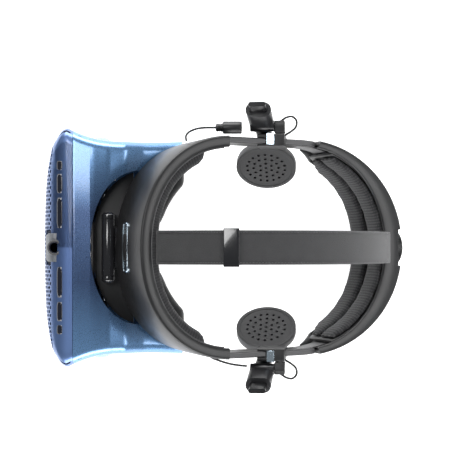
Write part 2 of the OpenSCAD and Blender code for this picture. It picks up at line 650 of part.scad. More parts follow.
// The cup's own frame: its face looks along +Z
module cup_frame() {
    swing_frame() translate([bar_x, 0, foot_z]) rotate([0, -hanger_tilt, 0])
        rotate([0, -90 + ear_tilt, 0]) children();
}
module hanger_bar() difference() {
    union() {
        swing_frame() translate([bar_x, 0, foot_z]) bar_section(bar_t, bar_w, bar_len);
        cup_frame() {
            translate([-3, -bar_w / 2, 0]) cube([6, bar_w, neck]);
            translate([0, 0, neck]) y_rod(3, -bar_w / 2, bar_w / 2);
        }
    }
    swing_frame() translate([bar_x + 2, 0, foot_z - 6]) cube([8, 30, 8], center = true);
}
module hanger_left() color(dark) side(1) hanger_bar();
module hanger_right() color(dark) side(-1) hanger_bar();
cup_face = 26;                    // height of the face above the bar's foot
module ear_cup() cup_frame() difference() {
    union() {
        translate([0, 0, cup_face - 6]) cylinder(r = ear_r, h = 6);
        translate([0, 0, cup_face - 12.2]) rotate_extrude() polygon(concat([[0, 0]],
            [for (i = [0:8]) [10 + (ear_r - 10) * sin(90 * i / 8), 6.2 * (1 - cos(90 * i / 8))]], [[0, 6.2]]));
        for (s = [-1, 1]) translate([0, s * (bar_w / 2 + 2.2), neck]) {
            y_rod(3.6, -1.9, 1.9);
            translate([-3.6, -1.9, 0]) cube([7.2, 3.8, cup_face - 11 - neck]);
        }
    }
    translate([0, 0, cup_face - 1.6]) cylinder(r = ear_r - 3, h = 3);
    translate([0, 0, cup_face - 9]) cylinder(r = ear_r - 6, h = 9);
    y_rod(1, -40, 40);
}
module ear_cup_left() color(black) side(1) ear_cup();
module ear_cup_right() color(black) side(-1) ear_cup();
grille_rings = [1, 6, 12, 18];
module ear_grille() cup_frame() translate([0, 0, cup_face - 1.5]) difference() {
    cylinder(r = ear_r - 3, h = 1.2);
    for (ring = [0:3], i = [0:grille_rings[ring] - 1])
        rotate(i * 360 / grille_rings[ring]) translate([ring * 5.6, 0, -1]) cylinder(r = 1.15, h = 4, $fn = 16);
}
module ear_grille_left() color(dark) side(1) ear_grille();
module ear_grille_right() color(dark) side(-1) ear_grille();

halo_shell();
halo_liner();
forehead_pad();
badge_plate();
hinge_bracket();
hinge_pin();
arm_left();
arm_right();
clip_left();
clip_right();
clip_strips();
hanger_pins();
lead_connector();
front_lead_right();
front_lead_left();
loop_lead_left();
loop_lead_right();
top_strap();
strap_buckle();
faceplate();
faceplate_backing();
visor_housing();
recess_cover();
hinge_caps();
chassis();
main_board();
heat_sink();
fan();
display_panels();
centre_cameras();
front_cameras();
side_cameras();
gasket_frame();
face_cushion();
cable_port();
housing_screws();
ipd_wheel();
lens_screw();
lens_holder_left();
lens_holder_right();
lens_left();
lens_right();
power_button();
rear_shell();
rear_plate();
rear_pad_upper();
rear_pad_lower();
size_dial();
dial_pinion();
rack_straps();
sleeve_left();
sleeve_right();
hanger_left();
hanger_right();
ear_cup_left();
ear_cup_right();
ear_grille_left();
ear_grille_right();
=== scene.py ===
"""A head-worn display: hinged visor, padded sloping head ring, sliding rear cradle, swing-down ear speakers."""
import json
import math

import bpy
import bmesh
from mathutils import Matrix, Vector

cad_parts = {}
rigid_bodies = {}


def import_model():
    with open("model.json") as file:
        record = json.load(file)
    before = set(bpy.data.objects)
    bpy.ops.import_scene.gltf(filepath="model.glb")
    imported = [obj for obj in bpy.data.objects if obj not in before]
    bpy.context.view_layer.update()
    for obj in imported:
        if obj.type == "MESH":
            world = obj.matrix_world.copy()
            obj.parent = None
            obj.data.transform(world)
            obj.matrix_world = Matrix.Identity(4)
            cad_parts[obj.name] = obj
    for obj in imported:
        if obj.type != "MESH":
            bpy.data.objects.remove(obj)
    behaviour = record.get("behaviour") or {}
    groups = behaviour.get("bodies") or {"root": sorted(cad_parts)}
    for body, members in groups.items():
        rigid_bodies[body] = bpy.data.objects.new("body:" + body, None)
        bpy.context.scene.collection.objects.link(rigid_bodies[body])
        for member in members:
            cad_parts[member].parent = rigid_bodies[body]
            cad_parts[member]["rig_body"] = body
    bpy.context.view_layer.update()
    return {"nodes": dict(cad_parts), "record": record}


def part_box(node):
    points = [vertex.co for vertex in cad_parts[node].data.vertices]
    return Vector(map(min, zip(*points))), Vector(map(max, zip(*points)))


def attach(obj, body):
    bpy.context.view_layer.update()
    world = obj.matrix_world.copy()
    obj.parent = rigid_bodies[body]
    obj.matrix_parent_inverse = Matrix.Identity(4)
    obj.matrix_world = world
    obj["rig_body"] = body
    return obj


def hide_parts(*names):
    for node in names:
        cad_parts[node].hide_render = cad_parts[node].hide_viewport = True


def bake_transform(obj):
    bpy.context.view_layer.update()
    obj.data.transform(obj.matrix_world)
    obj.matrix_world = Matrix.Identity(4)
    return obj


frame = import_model()

# Driving sizes in millimetres, in the maker's own frame: Y is 0 over the middle of the head ring
MM = 0.001
FRONT_Y = -166.0
SHIFT_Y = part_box("faceplate")[0][1] / MM - FRONT_Y
VISOR_W, VISOR_H = 202.0, 104.0
SEAM_Y, LIP_Y, WAIST_Y, REAR_Y = -136.0, -141.0, -100.0, -46.0
WAIST_X = 90.0
RING_A, RING_FRONT, RING_STRAIGHT, RING_REAR = 92.0, 82.0, 64.0, 99.5
TILT = math.radians(25)
FRONT_N, REAR_N = 2.15, 2.05
REAR_H = 57.5
RING_Z = (RING_STRAIGHT + RING_REAR) * math.sin(TILT) + REAR_H * math.cos(TILT)
RACK_W = -22.0
BARREL = (0.0, -106.6, 98.0)
BARREL_R, BARREL_LEN = 5.6, 47.2


# ---------- mesh making ----------
def place(p):
    """A point of the maker's frame, in metres of the row frame."""
    return Vector((p[0] * MM, (p[1] + SHIFT_Y) * MM, p[2] * MM))


def mesh_piece(name, points, faces, material, smooth=True):
    mesh = bpy.data.meshes.new(name)
    mesh.from_pydata([place(p) for p in points], [], faces)
    piece = bpy.data.objects.new(name, mesh)
    bpy.context.scene.collection.objects.link(piece)
    mesh.materials.append(material)
    tidy_mesh(piece, smooth)
    return piece


def tidy_mesh(piece, smooth=True, merge=2e-6):
    bm = bmesh.new()
    bm.from_mesh(piece.data)
    bmesh.ops.remove_doubles(bm, verts=bm.verts, dist=merge)
    bmesh.ops.recalc_face_normals(bm, faces=bm.faces)
    for face in bm.faces:
        face.smooth = smooth
    bm.to_mesh(piece.data)
    bm.free()


def bake(piece):
    """Applies every modifier and leaves a plain mesh."""
    bpy.context.view_layer.update()
    evaluated = piece.evaluated_get(bpy.context.evaluated_depsgraph_get())
    mesh = bpy.data.meshes.new_from_object(evaluated)
    piece.modifiers.clear()
    old = piece.data
    piece.data = mesh
    bpy.data.meshes.remove(old)
    return piece


def rounded_edges(piece, width, segments=2, angle=32):
    bevel = piece.modifiers.new("round", "BEVEL")
    bevel.width = width * MM
    bevel.segments = segments
    bevel.limit_method = "ANGLE"
    bevel.angle_limit = math.radians(angle)
    bevel.use_clamp_overlap = True
    bevel.harden_normals = False
    bake(piece)
    sharpen(piece)
    return piece


def sharpen(piece, angle=38):
    """Smooth faces, with an edge kept sharp where two faces meet at more than angle."""
    bm = bmesh.new()
    bm.from_mesh(piece.data)
    for edge in bm.edges:
        if len(edge.link_faces) == 2:
            edge.smooth = edge.calc_face_angle(0) < math.radians(angle)
    for face in bm.faces:
        face.smooth = True
    bm.to_mesh(piece.data)
    bm.free()
    return piece


def skin(rows, closed=True, capped=True):
    """Points and faces of a surface through rows of points; each row is a closed loop when closed."""
    points = [p for row in rows for p in row]
    n = len(rows[0])
    faces = []
    for i in range(len(rows) - 1):
        for k in range(n if closed else n - 1):
            m = (k + 1) % n
            faces.append((i * n + k, i * n + m, (i + 1) * n + m, (i + 1) * n + k))
    if capped and closed:
        faces.append(tuple(range(n)))
        faces.append(tuple(range((len(rows) - 1) * n, len(rows) * n)))
    return points, faces


def cut(piece, tool):
    """Takes tool's volume out of piece, and removes tool."""
    boolean = piece.modifiers.new("cut", "BOOLEAN")
    boolean.operation = "DIFFERENCE"
    boolean.solver = "EXACT"
    boolean.object = tool
    bake(piece)
    bpy.data.objects.remove(tool)
    return piece


def thicken(piece, wall, offset=-1.0):
    solid = piece.modifiers.new("wall", "SOLIDIFY")
    solid.thickness = wall * MM
    solid.offset = offset
    return bake(piece)


def finish_piece(piece, body, slot, *nodes):
    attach(piece, body)
    if nodes:
        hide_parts(*nodes)
    return piece


def softened(node, material, width=0.5, segments=2, name=None):
    """A copy of a CAD node with its edges rounded, which stands for the node."""
    source = frame["nodes"][node]
    piece = bpy.data.objects.new(name or node + "_finish", source.data.copy())
    bpy.context.scene.collection.objects.link(piece)
    piece.data.materials.clear()
    piece.data.materials.append(material)
    bm = bmesh.new()
    bm.from_mesh(piece.data)
    bmesh.ops.remove_doubles(bm, verts=bm.verts, dist=2e-6)
    bmesh.ops.dissolve_limit(bm, angle_limit=math.radians(0.6), verts=bm.verts, edges=bm.edges)
    bmesh.ops.recalc_face_normals(bm, faces=bm.faces)
    bm.to_mesh(piece.data)
    bm.free()
    rounded_edges(piece, width, segments)
    record_slot = {s["node"]: s["material_slot"] for s in frame["record"]["subparts"]}[node]
    return finish_piece(piece, source["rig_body"], record_slot, node)


# ---------- outlines ----------
def power(value, exponent):
    return math.copysign(abs(value) ** exponent, value)


def curve(a, b, n, degrees):
    t = math.radians(degrees)
    return a * power(math.cos(t), 2 / n), b * power(math.sin(t), 2 / n)


def ring(u, v, w):
    """A point given across, along and square to the sloping ring."""
    return (u, v * math.cos(TILT) + w * math.sin(TILT), RING_Z - v * math.sin(TILT) + w * math.cos(TILT))


def front_ring(degrees, inset, w):
    u, v = curve(RING_A - inset, RING_FRONT - inset, FRONT_N, degrees)
    return ring(u, v, w)


def rear_ring(degrees, a, b, w):
    u, v = curve(a, b, REAR_N, degrees)
    return ring(u, v + RING_STRAIGHT, w)


def steps(start, end, count):
    return [start + (end - start) * i / count for i in range(count + 1)]


def ease(t):
    t = min(max(t, 0.0), 1.0)
    return t * t * (3 - 2 * t)


def round_rect(x0, x1, y0, y1, r, k=4):
    """Corner-rounded rectangle as a closed loop of points."""
    corners = ((x1 - r, y1 - r, 0), (x0 + r, y1 - r, 90), (x0 + r, y0 + r, 180), (x1 - r, y0 + r, 270))
    return [(cx + r * math.cos(math.radians(a + 90 * i / k)), cy + r * math.sin(math.radians(a + 90 * i / k)))
            for cx, cy, a in corners for i in range(k + 1)]


def side_x(y):
    if y < WAIST_Y:
        return WAIST_X + 11 * ((WAIST_Y - y) / (WAIST_Y - LIP_Y)) ** 2
    return WAIST_X + 3 * ((y - WAIST_Y) / (REAR_Y - WAIST_Y)) ** 2


# ---------- shader maths ----------
class Value:
    """A socket that Python's operators can work on."""

    def __init__(self, tree, socket):
        self.tree = tree
        self.socket = socket

    def node(self, kind, settings=None, inputs=None, out=0):
        made = self.tree.nodes.new(kind)
        for key, setting in (settings or {}).items():
            if key == "stops":
                ramp = made.color_ramp.elements
                while len(ramp) < len(setting):
                    ramp.new(0.5)
                for stop, (position, colour) in zip(ramp, setting):
                    stop.position = position
                    stop.color = (*colour, 1) if len(colour) == 3 else colour
            else:
                setattr(made, key, setting)
        for key, given in (inputs or {}).items():
            if isinstance(given, Value):
                self.tree.links.new(given.socket, made.inputs[key])
            else:
                made.inputs[key].default_value = given
        return Value(self.tree, made.outputs[out])

    def maths(self, operation, a, b=0.0):
        return self.node("ShaderNodeMath", {"operation": operation}, {0: a, 1: b})

    def __add__(self, other):
        return self.maths("ADD", self, other)

    def __radd__(self, other):
        return self.maths("ADD", other, self)

    def __sub__(self, other):
        return self.maths("SUBTRACT", self, other)

    def __rsub__(self, other):
        return self.maths("SUBTRACT", other, self)

    def __mul__(self, other):
        return self.maths("MULTIPLY", self, other)

    def __rmul__(self, other):
        return self.maths("MULTIPLY", other, self)

    def __truediv__(self, other):
        return self.maths("DIVIDE", self, other)

    def __pow__(self, other):
        return self.maths("POWER", self, other)

    def sine(self):
        return self.maths("SINE", self)

    def size(self):
        return self.maths("ABSOLUTE", self)

    def above(self, other):
        return self.maths("GREATER_THAN", self, other)

    def noise(self, scale, detail=2.0, vector=None):
        return self.node("ShaderNodeTexNoise", {}, {"Vector": vector or self, "Scale": scale, "Detail": detail})

    def between(self, low, high):
        return self.node("ShaderNodeMapRange", {"clamp": True}, {"Value": self, "From Min": low, "From Max": high})

    def colour(self, dark, light):
        return self.node("ShaderNodeMix", {"data_type": "RGBA"}, {0: self, 6: (*dark, 1), 7: (*light, 1)}, out=2)

    def bump(self, strength, distance):
        return self.node("ShaderNodeBump", {}, {"Height": self, "Strength": strength, "Distance": distance * MM})

    def axes(self):
        split = self.tree.nodes.new("ShaderNodeSeparateXYZ")
        self.tree.links.new(self.socket, split.inputs[0])
        return [Value(self.tree, out) for out in split.outputs]


def material(name, build, **fixed):
    """A material whose build(coordinates) returns the sockets that change over the surface."""
    made = bpy.data.materials.new(name)
    made.use_nodes = True
    tree = made.node_tree
    shader = tree.nodes["Principled BSDF"]
    for key, given in fixed.items():
        shader.inputs[key.replace("_", " ")].default_value = given
    where = Value(tree, tree.nodes.new("ShaderNodeTexCoord").outputs["Object"])
    for key, given in build(where).items():
        tree.links.new(given.socket, shader.inputs[key])
    return made


def plastic(name, dark, light, rough, grain=900, bump=0.12, **fixed):
    """Moulded plastic: fine spark-eroded grain, slight cloudiness and a rubbed sheen."""
    def build(where):
        cloud = where.noise(55, 4)
        fine = where.noise(grain * 3, 2)
        return {"Base Color": cloud.colour(dark, light),
                "Roughness": (cloud * 0.12) + (fine * 0.08) + (rough - 0.1),
                "Normal": fine.bump(bump, 0.06)}
    return material(name, build, **fixed)


def metal(name, dark, light, rough, direction=(30, 2600, 2600)):
    """Brushed metal with long fine scratches along one axis."""
    def build(where):
        stretched = where.node("ShaderNodeMapping", {}, {"Vector": where, "Scale": direction})
        grain = stretched.noise(1.0, 3)
        return {"Base Color": grain.colour(dark, light), "Roughness": (grain * 0.16) + (rough - 0.08),
                "Normal": grain.bump(0.08, 0.02)}
    return material(name, build, Metallic=1.0)


def paint(name, deep, bright, rough):
    """Metallic lacquer: flakes under a clear coat, deeper in the middle by the hinge and brighter towards the sides:
    painted shade in the middle, painted reflection of the side lights towards the sides.
    """
    def build(where):
        x, _, _ = where.axes()
        flakes = where.node("ShaderNodeTexVoronoi", {}, {"Vector": where, "Scale": 2600.0}, out=1)
        sparkle = where.node("ShaderNodeSeparateColor", {}, {"Color": flakes})
        cloud = where.noise(18, 2)
        # Brighter with distance from the middle: painted reflection of the side lights towards the sides, painted
        # shade in the middle; cloud and flakes are the lacquer's own tone.
        side = x.size().between(0.03, 0.095)
        tone_with_painted_reflection = (side * 0.75) + (cloud * 0.15) + (sparkle * 0.1)
        return {"Base Color": tone_with_painted_reflection.colour(deep, bright),
                "Roughness": (sparkle * 0.08) + (rough - 0.04),
                "Normal": sparkle.bump(0.05, 0.02)}
    return material(name, build, Metallic=0.7, Coat_Weight=0.6, Coat_Roughness=0.08)


def ribbed(name, dark, light, pitch=2.3):
    """Spacer mesh with raised ribs across the ring and small eyelets between them, with painted shade in the hollows
    between the ribs and in the eyelets.
    """
    def build(where):
        rib = where.node("ShaderNodeUVMap", {"uv_map": "along"})
        u, v, _ = rib.axes()
        ribs = (u * (2 * math.pi / (pitch * MM))).sine()
        eyelets = (v * (2 * math.pi / (1.5 * MM))).sine()
        knit = (ribs * 0.5 + 0.5) * (eyelets * 0.35 + 0.65)
        fuzz = where.noise(2400, 2)
        height = knit + (fuzz * 0.3)
        # The colour follows the knit height: painted shade in the hollows between the ribs and in the eyelets, paler
        # rib tops; the fuzz is the yarn's own tone.
        shade = (knit * 0.8) + (fuzz * 0.2)
        return {"Base Color": shade.colour(dark, light), "Roughness": (fuzz * 0.1) + 0.78,
                "Normal": height.bump(0.8, 0.35)}
    return material(name, build, Sheen_Weight=0.15, Sheen_Roughness=0.5)


def textile(name, dark, light):
    """Brushed loop textile: short tangled loops with a worn, paler nap in patches, and a colour that grows paler
    towards the rear.
    """
    def build(where):
        loops = where.noise(3600, 3)
        patches = where.noise(140, 3)
        weave = where.node("ShaderNodeTexVoronoi", {}, {"Vector": where, "Scale": 1500.0})
        _, y, _ = where.axes()
        # Paler towards the rear of the strap.
        paler_to_rear = y.between(-0.02, 0.13)
        shade = (loops * 0.45) + (patches * 0.35) + (paler_to_rear * 0.45) - 0.15
        return {"Base Color": shade.colour(dark, light), "Roughness": (patches * 0.1) + 0.85,
                "Normal": (weave + loops).bump(0.7, 0.3)}
    return material(name, build, Sheen_Weight=0.2, Sheen_Roughness=0.6)


def skin_foam(name, dark, light):
    def build(where):
        pores = where.node("ShaderNodeTexVoronoi", {}, {"Vector": where, "Scale": 1400.0})
        cloud = where.noise(60, 3)
        return {"Base Color": cloud.colour(dark, light), "Roughness": (cloud * 0.15) + 0.5,
                "Normal": pores.bump(0.35, 0.12)}
    return material(name, build)


def lens_glass(name, tint, rough):
    def build(where):
        dust = where.noise(500, 2)
        return {"Roughness": (dust * 0.03) + rough, "Base Color": dust.colour(tint, tint)}
    return material(name, build, IOR=1.5, Transmission_Weight=0.9)


# In each lacquer the deep colour is painted shade in the visor's middle and the bright colour is painted reflection
# at its sides.
BLUE_SHELL = paint("blue_lacquer_housing", (0.018, 0.03, 0.085), (0.17, 0.34, 0.6), 0.3)
BLUE_FRONT = paint("blue_lacquer_front", (0.07, 0.12, 0.27), (0.12, 0.2, 0.4), 0.4)
BLACK_GLOSS = plastic("black_polished", (0.006, 0.006, 0.007), (0.016, 0.016, 0.018), 0.16, bump=0.02,
                      Coat_Weight=0.6, Coat_Roughness=0.05)
BLACK_SATIN = plastic("black_satin_shell", (0.006, 0.006, 0.0066), (0.014, 0.014, 0.015), 0.4)
DARK = plastic("dark_moulding", (0.007, 0.007, 0.0075), (0.017, 0.017, 0.018), 0.46)
GREY = plastic("grey_edge", (0.04, 0.04, 0.042), (0.075, 0.075, 0.078), 0.45)
POD = plastic("pod_moulding", (0.008, 0.008, 0.009), (0.02, 0.02, 0.022), 0.34)
BAR = plastic("bar_moulding", (0.005, 0.005, 0.0055), (0.013, 0.013, 0.014), 0.3)
EAR = plastic("ear_soft_touch", (0.008, 0.008, 0.009), (0.02, 0.02, 0.022), 0.5, Sheen_Weight=0.05)
CAMERA_BLUE = plastic("camera_window_blue", (0.2, 0.5, 0.68), (0.34, 0.7, 0.86), 0.12, bump=0.0,
                      Coat_Weight=1.0, Coat_Roughness=0.03)
CAMERA_GLASS = plastic("camera_lens_black", (0.004, 0.004, 0.008), (0.01, 0.012, 0.02), 0.08, bump=0.0,
                       Coat_Weight=1.0, Coat_Roughness=0.02)
CAMERA_RIM = plastic("camera_rim_grey", (0.09, 0.1, 0.11), (0.17, 0.18, 0.2), 0.4)
BOARD = plastic("solder_mask_green", (0.01, 0.05, 0.02), (0.02, 0.09, 0.04), 0.4)
PALE_METAL = metal("polished_badge_metal", (0.55, 0.68, 0.78), (0.78, 0.88, 0.95), 0.2)
STEEL = metal("ground_steel", (0.4, 0.4, 0.42), (0.62, 0.62, 0.64), 0.28)
LEAD = plastic("lead_jacket", (0.008, 0.008, 0.008), (0.02, 0.02, 0.02), 0.5, bump=0.05)
PAD = ribbed("ribbed_pad_mesh", (0.004, 0.004, 0.005), (0.04, 0.04, 0.043))
STRAP = textile("brushed_loop_textile", (0.005, 0.005, 0.0055), (0.05, 0.05, 0.053))
FOAM = skin_foam("face_foam_skin", (0.006, 0.006, 0.006), (0.016, 0.016, 0.016))
LENS = lens_glass("lens_clear", (0.9, 0.95, 1.0), 0.02)


# ---------- what repeats: Geometry Nodes ----------
class Tree:
    """A geometry node tree with named inputs, built one node at a time."""

    def __init__(self, name, sizes):
        self.group = bpy.data.node_groups.new(name, "GeometryNodeTree")
        self.group.interface.new_socket("Geometry", in_out="INPUT", socket_type="NodeSocketGeometry")
        for size, value in sizes.items():
            kind = {float: "NodeSocketFloat", int: "NodeSocketInt"}.get(type(value), "NodeSocketObject")
            socket = self.group.interface.new_socket(size, in_out="INPUT", socket_type=kind)
            if kind != "NodeSocketObject":
                socket.default_value = value
        self.group.interface.new_socket("Geometry", in_out="OUTPUT", socket_type="NodeSocketGeometry")
        self.start = self.group.nodes.new("NodeGroupInput")
        self.end = self.group.nodes.new("NodeGroupOutput")

    def add(self, kind, settings=None, **links):
        node = self.group.nodes.new(kind)
        for key, value in (settings or {}).items():
            setattr(node, key, value)
        for key, given in links.items():
            key = key.replace("_", " ")
            if isinstance(given, bpy.types.NodeSocket):
                self.group.links.new(given, node.inputs[key])
            else:
                node.inputs[key].default_value = given
        return node.outputs

    def done(self, geometry, material_used):
        real = self.add("GeometryNodeRealizeInstances", Geometry=geometry)[0]
        painted = self.add("GeometryNodeSetMaterial", Geometry=real, Material=material_used)[0]
        self.group.links.new(painted, self.end.inputs[0])
        return self.group


def run_tree(piece, group, **inputs):
    """Runs a tree on a piece and keeps the result as its plain mesh."""
    modifier = piece.modifiers.new("repeat", "NODES")
    modifier.node_group = group
    for item in group.interface.items_tree:
        if item.in_out == "INPUT" and item.name.replace(" ", "_") in inputs:
            modifier[item.identifier] = inputs[item.name.replace(" ", "_")]
    return bake(piece)


def scatter(name, seats, pattern, paint_used):
    """One copy of pattern on each seat; a seat is a point, the direction it faces and the way it runs."""
    mesh = bpy.data.meshes.new(name)
    mesh.from_pydata([place(p) for p, _, _ in seats], [], [])
    turns = mesh.attributes.new("turn", "FLOAT_VECTOR", "POINT")
    for i, (_, out, along) in enumerate(seats):
        z = Vector(out).normalized()
        x = (Vector(along) - z * Vector(along).dot(z)).normalized()
        turns.data[i].vector = Matrix((x, z.cross(x), z)).transposed().to_euler()
    piece = bpy.data.objects.new(name, mesh)
    bpy.context.scene.collection.objects.link(piece)
    tree = Tree(name + "_tree", {"Pattern": None, "Scale": 1.0})
    turn = tree.add("GeometryNodeInputNamedAttribute", {"data_type": "FLOAT_VECTOR"}, Name="turn")[0]
    shape = tree.add("GeometryNodeObjectInfo", Object=tree.start.outputs["Pattern"])
    copies = tree.add("GeometryNodeInstanceOnPoints", Points=tree.start.outputs["Geometry"],
                      Instance=shape["Geometry"], Rotation=turn, Scale=tree.start.outputs["Scale"])
    run_tree(piece, tree.done(copies[0], paint_used), Pattern=pattern)
    bpy.data.objects.remove(pattern)
    tidy_mesh(piece, True, merge=1e-7)
    return sharpen(piece)


def pattern_piece(points, faces):
    """A small shape at the origin, in millimetres, for scatter to copy."""
    mesh = bpy.data.meshes.new("pattern")
    mesh.from_pydata([Vector(p) * MM for p in points], [], faces)
    piece = bpy.data.objects.new("pattern", mesh)
    bpy.context.scene.collection.objects.link(piece)
    return piece


def bar_pattern(length, width, height, taper=0.6):
    """A short raised bar with sloping sides, such as a stitch or a knurl."""
    a, b, c, d = length / 2, width / 2, length / 2 * 0.86, width / 2 * taper
    points = [(-a, -b, -height), (a, -b, -height), (a, b, -height), (-a, b, -height),
              (-c, -d, height), (c, -d, height), (c, d, height), (-c, d, height)]
    return pattern_piece(points, [(0, 3, 2, 1), (4, 5, 6, 7), (0, 1, 5, 4), (1, 2, 6, 5), (2, 3, 7, 6), (3, 0, 4, 7)])


# ---------- camera, light and floor ----------
CAMERA_HEIGHT = 1.015
SENSOR = 36.0
LENS_LENGTH = 87.2


def make_camera():
    data = bpy.data.cameras.new("studio_camera")
    data.sensor_width = SENSOR
    data.lens = LENS_LENGTH
    data.shift_x = -0.0222
    data.shift_y = 0.0501
    camera = bpy.data.objects.new("studio_camera", data)
    camera.location = (0, SHIFT_Y * MM, CAMERA_HEIGHT)
    camera.rotation_euler = (0, 0, math.radians(90))
    bpy.context.scene.collection.objects.link(camera)
    bpy.context.scene.camera = camera


def area_light(name, where, aim, size, power_watts, colour=(1, 1, 1)):
    data = bpy.data.lights.new(name, "AREA")
    data.shape = "RECTANGLE"
    data.size, data.size_y = size
    data.energy = power_watts
    data.color = colour
    lamp = bpy.data.objects.new(name, data)
    lamp.location = where
    lamp.rotation_euler = (Vector(aim) - Vector(where)).to_track_quat("-Z", "Y").to_euler()
    bpy.context.scene.collection.objects.link(lamp)


def make_studio():
    view = bpy.context.scene.view_settings
    view.view_transform = "Standard"
    view.look = "None"
    view.exposure = 0.0
    world = bpy.data.worlds.new("studio_world")
    world.use_nodes = True
    world.node_tree.nodes["Background"].inputs[0].default_value = (0.9, 0.95, 1.0, 1)
    world.node_tree.nodes["Background"].inputs[1].default_value = 0.15
    bpy.context.scene.world = world
    area_light("left_softbox", (1.3, -0.1, 0.55), (0, 0, 0.05), (1.6, 0.7), 30)
    area_light("right_softbox", (-1.3, -0.1, 0.55), (0, 0, 0.05), (1.6, 0.7), 30)
    area_light("rear_softbox", (0, 1.3, 1.1), (0, 0, 0.08), (1.2, 0.5), 12)
    area_light("top_softbox", (-0.35, -0.5, 1.7), (0, 0, 0.08), (0.5, 0.5), 7)

    def pale(where):
        cloud = where.noise(1.5, 2)
        return {"Base Color": cloud.colour((0.93, 0.93, 0.93), (0.96, 0.96, 0.96))}
    floor_finish = material("pale_floor", pale, Roughness=0.9, Emission_Color=(1, 1, 1, 1),
                            Emission_Strength=0.8)
    mesh = bpy.data.meshes.new("floor")
    edge = 4.0
    mesh.from_pydata([(-edge, -edge, 0), (edge, -edge, 0), (edge, edge, 0), (-edge, edge, 0)], [], [(0, 1, 2, 3)])
    mesh.materials.append(floor_finish)
    floor = bpy.data.objects.new("floor", mesh)
    floor.location = (0, 0, -0.0006)
    bpy.context.scene.collection.objects.link(floor)


make_camera()
make_studio()


# ---------- visor ----------
CORNER = 7.0            # softness where the bowed plan meets the side profile
FACE_N = 2.6
BOW, SIDE_DEPTH = 25.0, 30.0    # how far the front bows across, and stands before the seam


def soft_max(a, b, blend=CORNER):
    h = max(blend - abs(a - b), 0.0) / blend
    return max(a, b) + h * h * blend * 0.25


def plan_y(x):
    ratio = min(abs(x) / (VISOR_W / 2), 1.0)
    return LIP_Y - BOW * math.sqrt(max(1 - ratio * ratio, 0.0))


def profile_y(z):
    ratio = min(abs(z - VISOR_H / 2) / (VISOR_H / 2), 1.0)
    return SEAM_Y - SIDE_DEPTH * max(1 - ratio ** FACE_N, 0.0) ** (1 / FACE_N)


def edge_section(y, sink=0.0):
    """The visor's outline across at one place along it, with rounded corners."""
    if y < SEAM_Y + 1e-6:
        half = VISOR_W / 2 * math.sqrt(max(1 - ((LIP_Y - y) / BOW) ** 2, 0.0)) if y < LIP_Y else side_x(y)
        rise = VISOR_H / 2 * max(1 - ((SEAM_Y - y) / SIDE_DEPTH) ** FACE_N, 0.0) ** (1 / FACE_N)
    else:
        half, rise = side_x(y), VISOR_H / 2
    return half - sink, rise - sink


TOP_LINE = ((-136, 104), (-118, 104), (-106, 103), (-92, 97.5), (-78, 86.5), (-62, 77.5), (-50, 70.5), (-46, 69))


def follow(line, y):
    for (y0, z0), (y1, z1) in zip(line, line[1:]):
        if y <= y1:
            share = (y - y0) / (y1 - y0)
            return z0 + (z1 - z0) * (ease(share) if y1 - y0 < 5 else share)
    return line[-1][1]


def housing_row(y, sink):
    half = side_x(y) - sink
    top = min(follow(TOP_LINE, y), VISOR_H) - sink
    radius = 9.0 - sink * 0.8
    low = sink + max(0.0, (y + 52) * 2.2)
    return [(x, y, z) for x, z in round_rect(-half, half, low, top, radius, 6)]


def disc_tool(x, y, z, r, axis, length, sides=48):
    """A cutting cylinder, along X, Y or Z."""
    points = []
    for end in (-length / 2, length / 2):
        for i in range(sides):
            a = 2 * math.pi * i / sides
            local = (r * math.cos(a), r * math.sin(a), end)
            out = [0, 0, 0]
            for source, target in enumerate({"X": (1, 2, 0), "Y": (2, 0, 1), "Z": (0, 1, 2)}[axis]):
                out[target] = local[source]
            points.append((x + out[0], y + out[1], z + out[2]))
    faces = [tuple(range(sides)), tuple(range(2 * sides - 1, sides - 1, -1))]
    faces += [(i, (i + 1) % sides, (i + 1) % sides + sides, i + sides) for i in range(sides)]
    return mesh_piece("tool", points, faces, DARK)


def prism_tool(outline, z0, z1):
    """A cutting prism from an outline in plan."""
    return mesh_piece("tool", *skin([[(x, y, z0) for x, y in outline], [(x, y, z1) for x, y in outline]]), DARK)


def slab_tool(x0, x1, y0, y1, z0, z1):
    return prism_tool([(x0, y0), (x1, y0), (x1, y1), (x0, y1)], z0, z1)


def recess_outline():
    arc = [curve(66.0, 46.0, 2.2, a) for a in steps(180, 360, 64)]
    return [(x, y - 121 + 46) for x, y in arc] + [(66, 30), (-66, 30)]


def nose_outline():
    return [(-26, -2), (-12, 27), (-7, 33), (0, 35), (7, 33), (12, 27), (26, -2)]


def make_housing():
    """The side walls, top and bottom behind the seam, open at both ends."""
    ys = steps(SEAM_Y + 0.35, -100, 20) + steps(-98.5, REAR_Y, 30)
    rows = [housing_row(y, 0.0) for y in ys]
    inner = [housing_row(y, 2.4) for y in reversed(ys)]
    points, faces = skin(rows + inner, capped=False)
    n, last = len(rows[0]), 2 * len(rows) - 1
    faces += [(last * n + k, last * n + (k + 1) % n, (k + 1) % n, k) for k in range(n)]
    piece = mesh_piece("housing_shell", points, faces, BLUE_SHELL)
    cut(piece, prism_tool(recess_outline(), 50, 140))
    cut(piece, disc_tool(0, 12, 50, 98, "Z", 300, 128))
    wedge = [[(x, y, z) for x, z in nose_outline()] for y in (-110, -20)]
    cut(piece, mesh_piece("tool", *skin(wedge), DARK))
    cut(piece, slab_tool(-70.5, -62.5, -131, -111, -5, 8))
    sharpen(rounded_edges(piece, 0.45, 2, 40))
    finish_piece(piece, "visor", "blue_shell", "visor_housing")


def rim_ring(y, sink, count=220):
    """One closed line round the front at one depth, following its rounded corners."""
    half, rise = edge_section(y, sink)
    radius = min(11.0, half * 0.6, rise * 0.6)
    loop = round_rect(-half, half, VISOR_H / 2 - rise, VISOR_H / 2 + rise, radius, 10)
    return spread(loop, count, y)


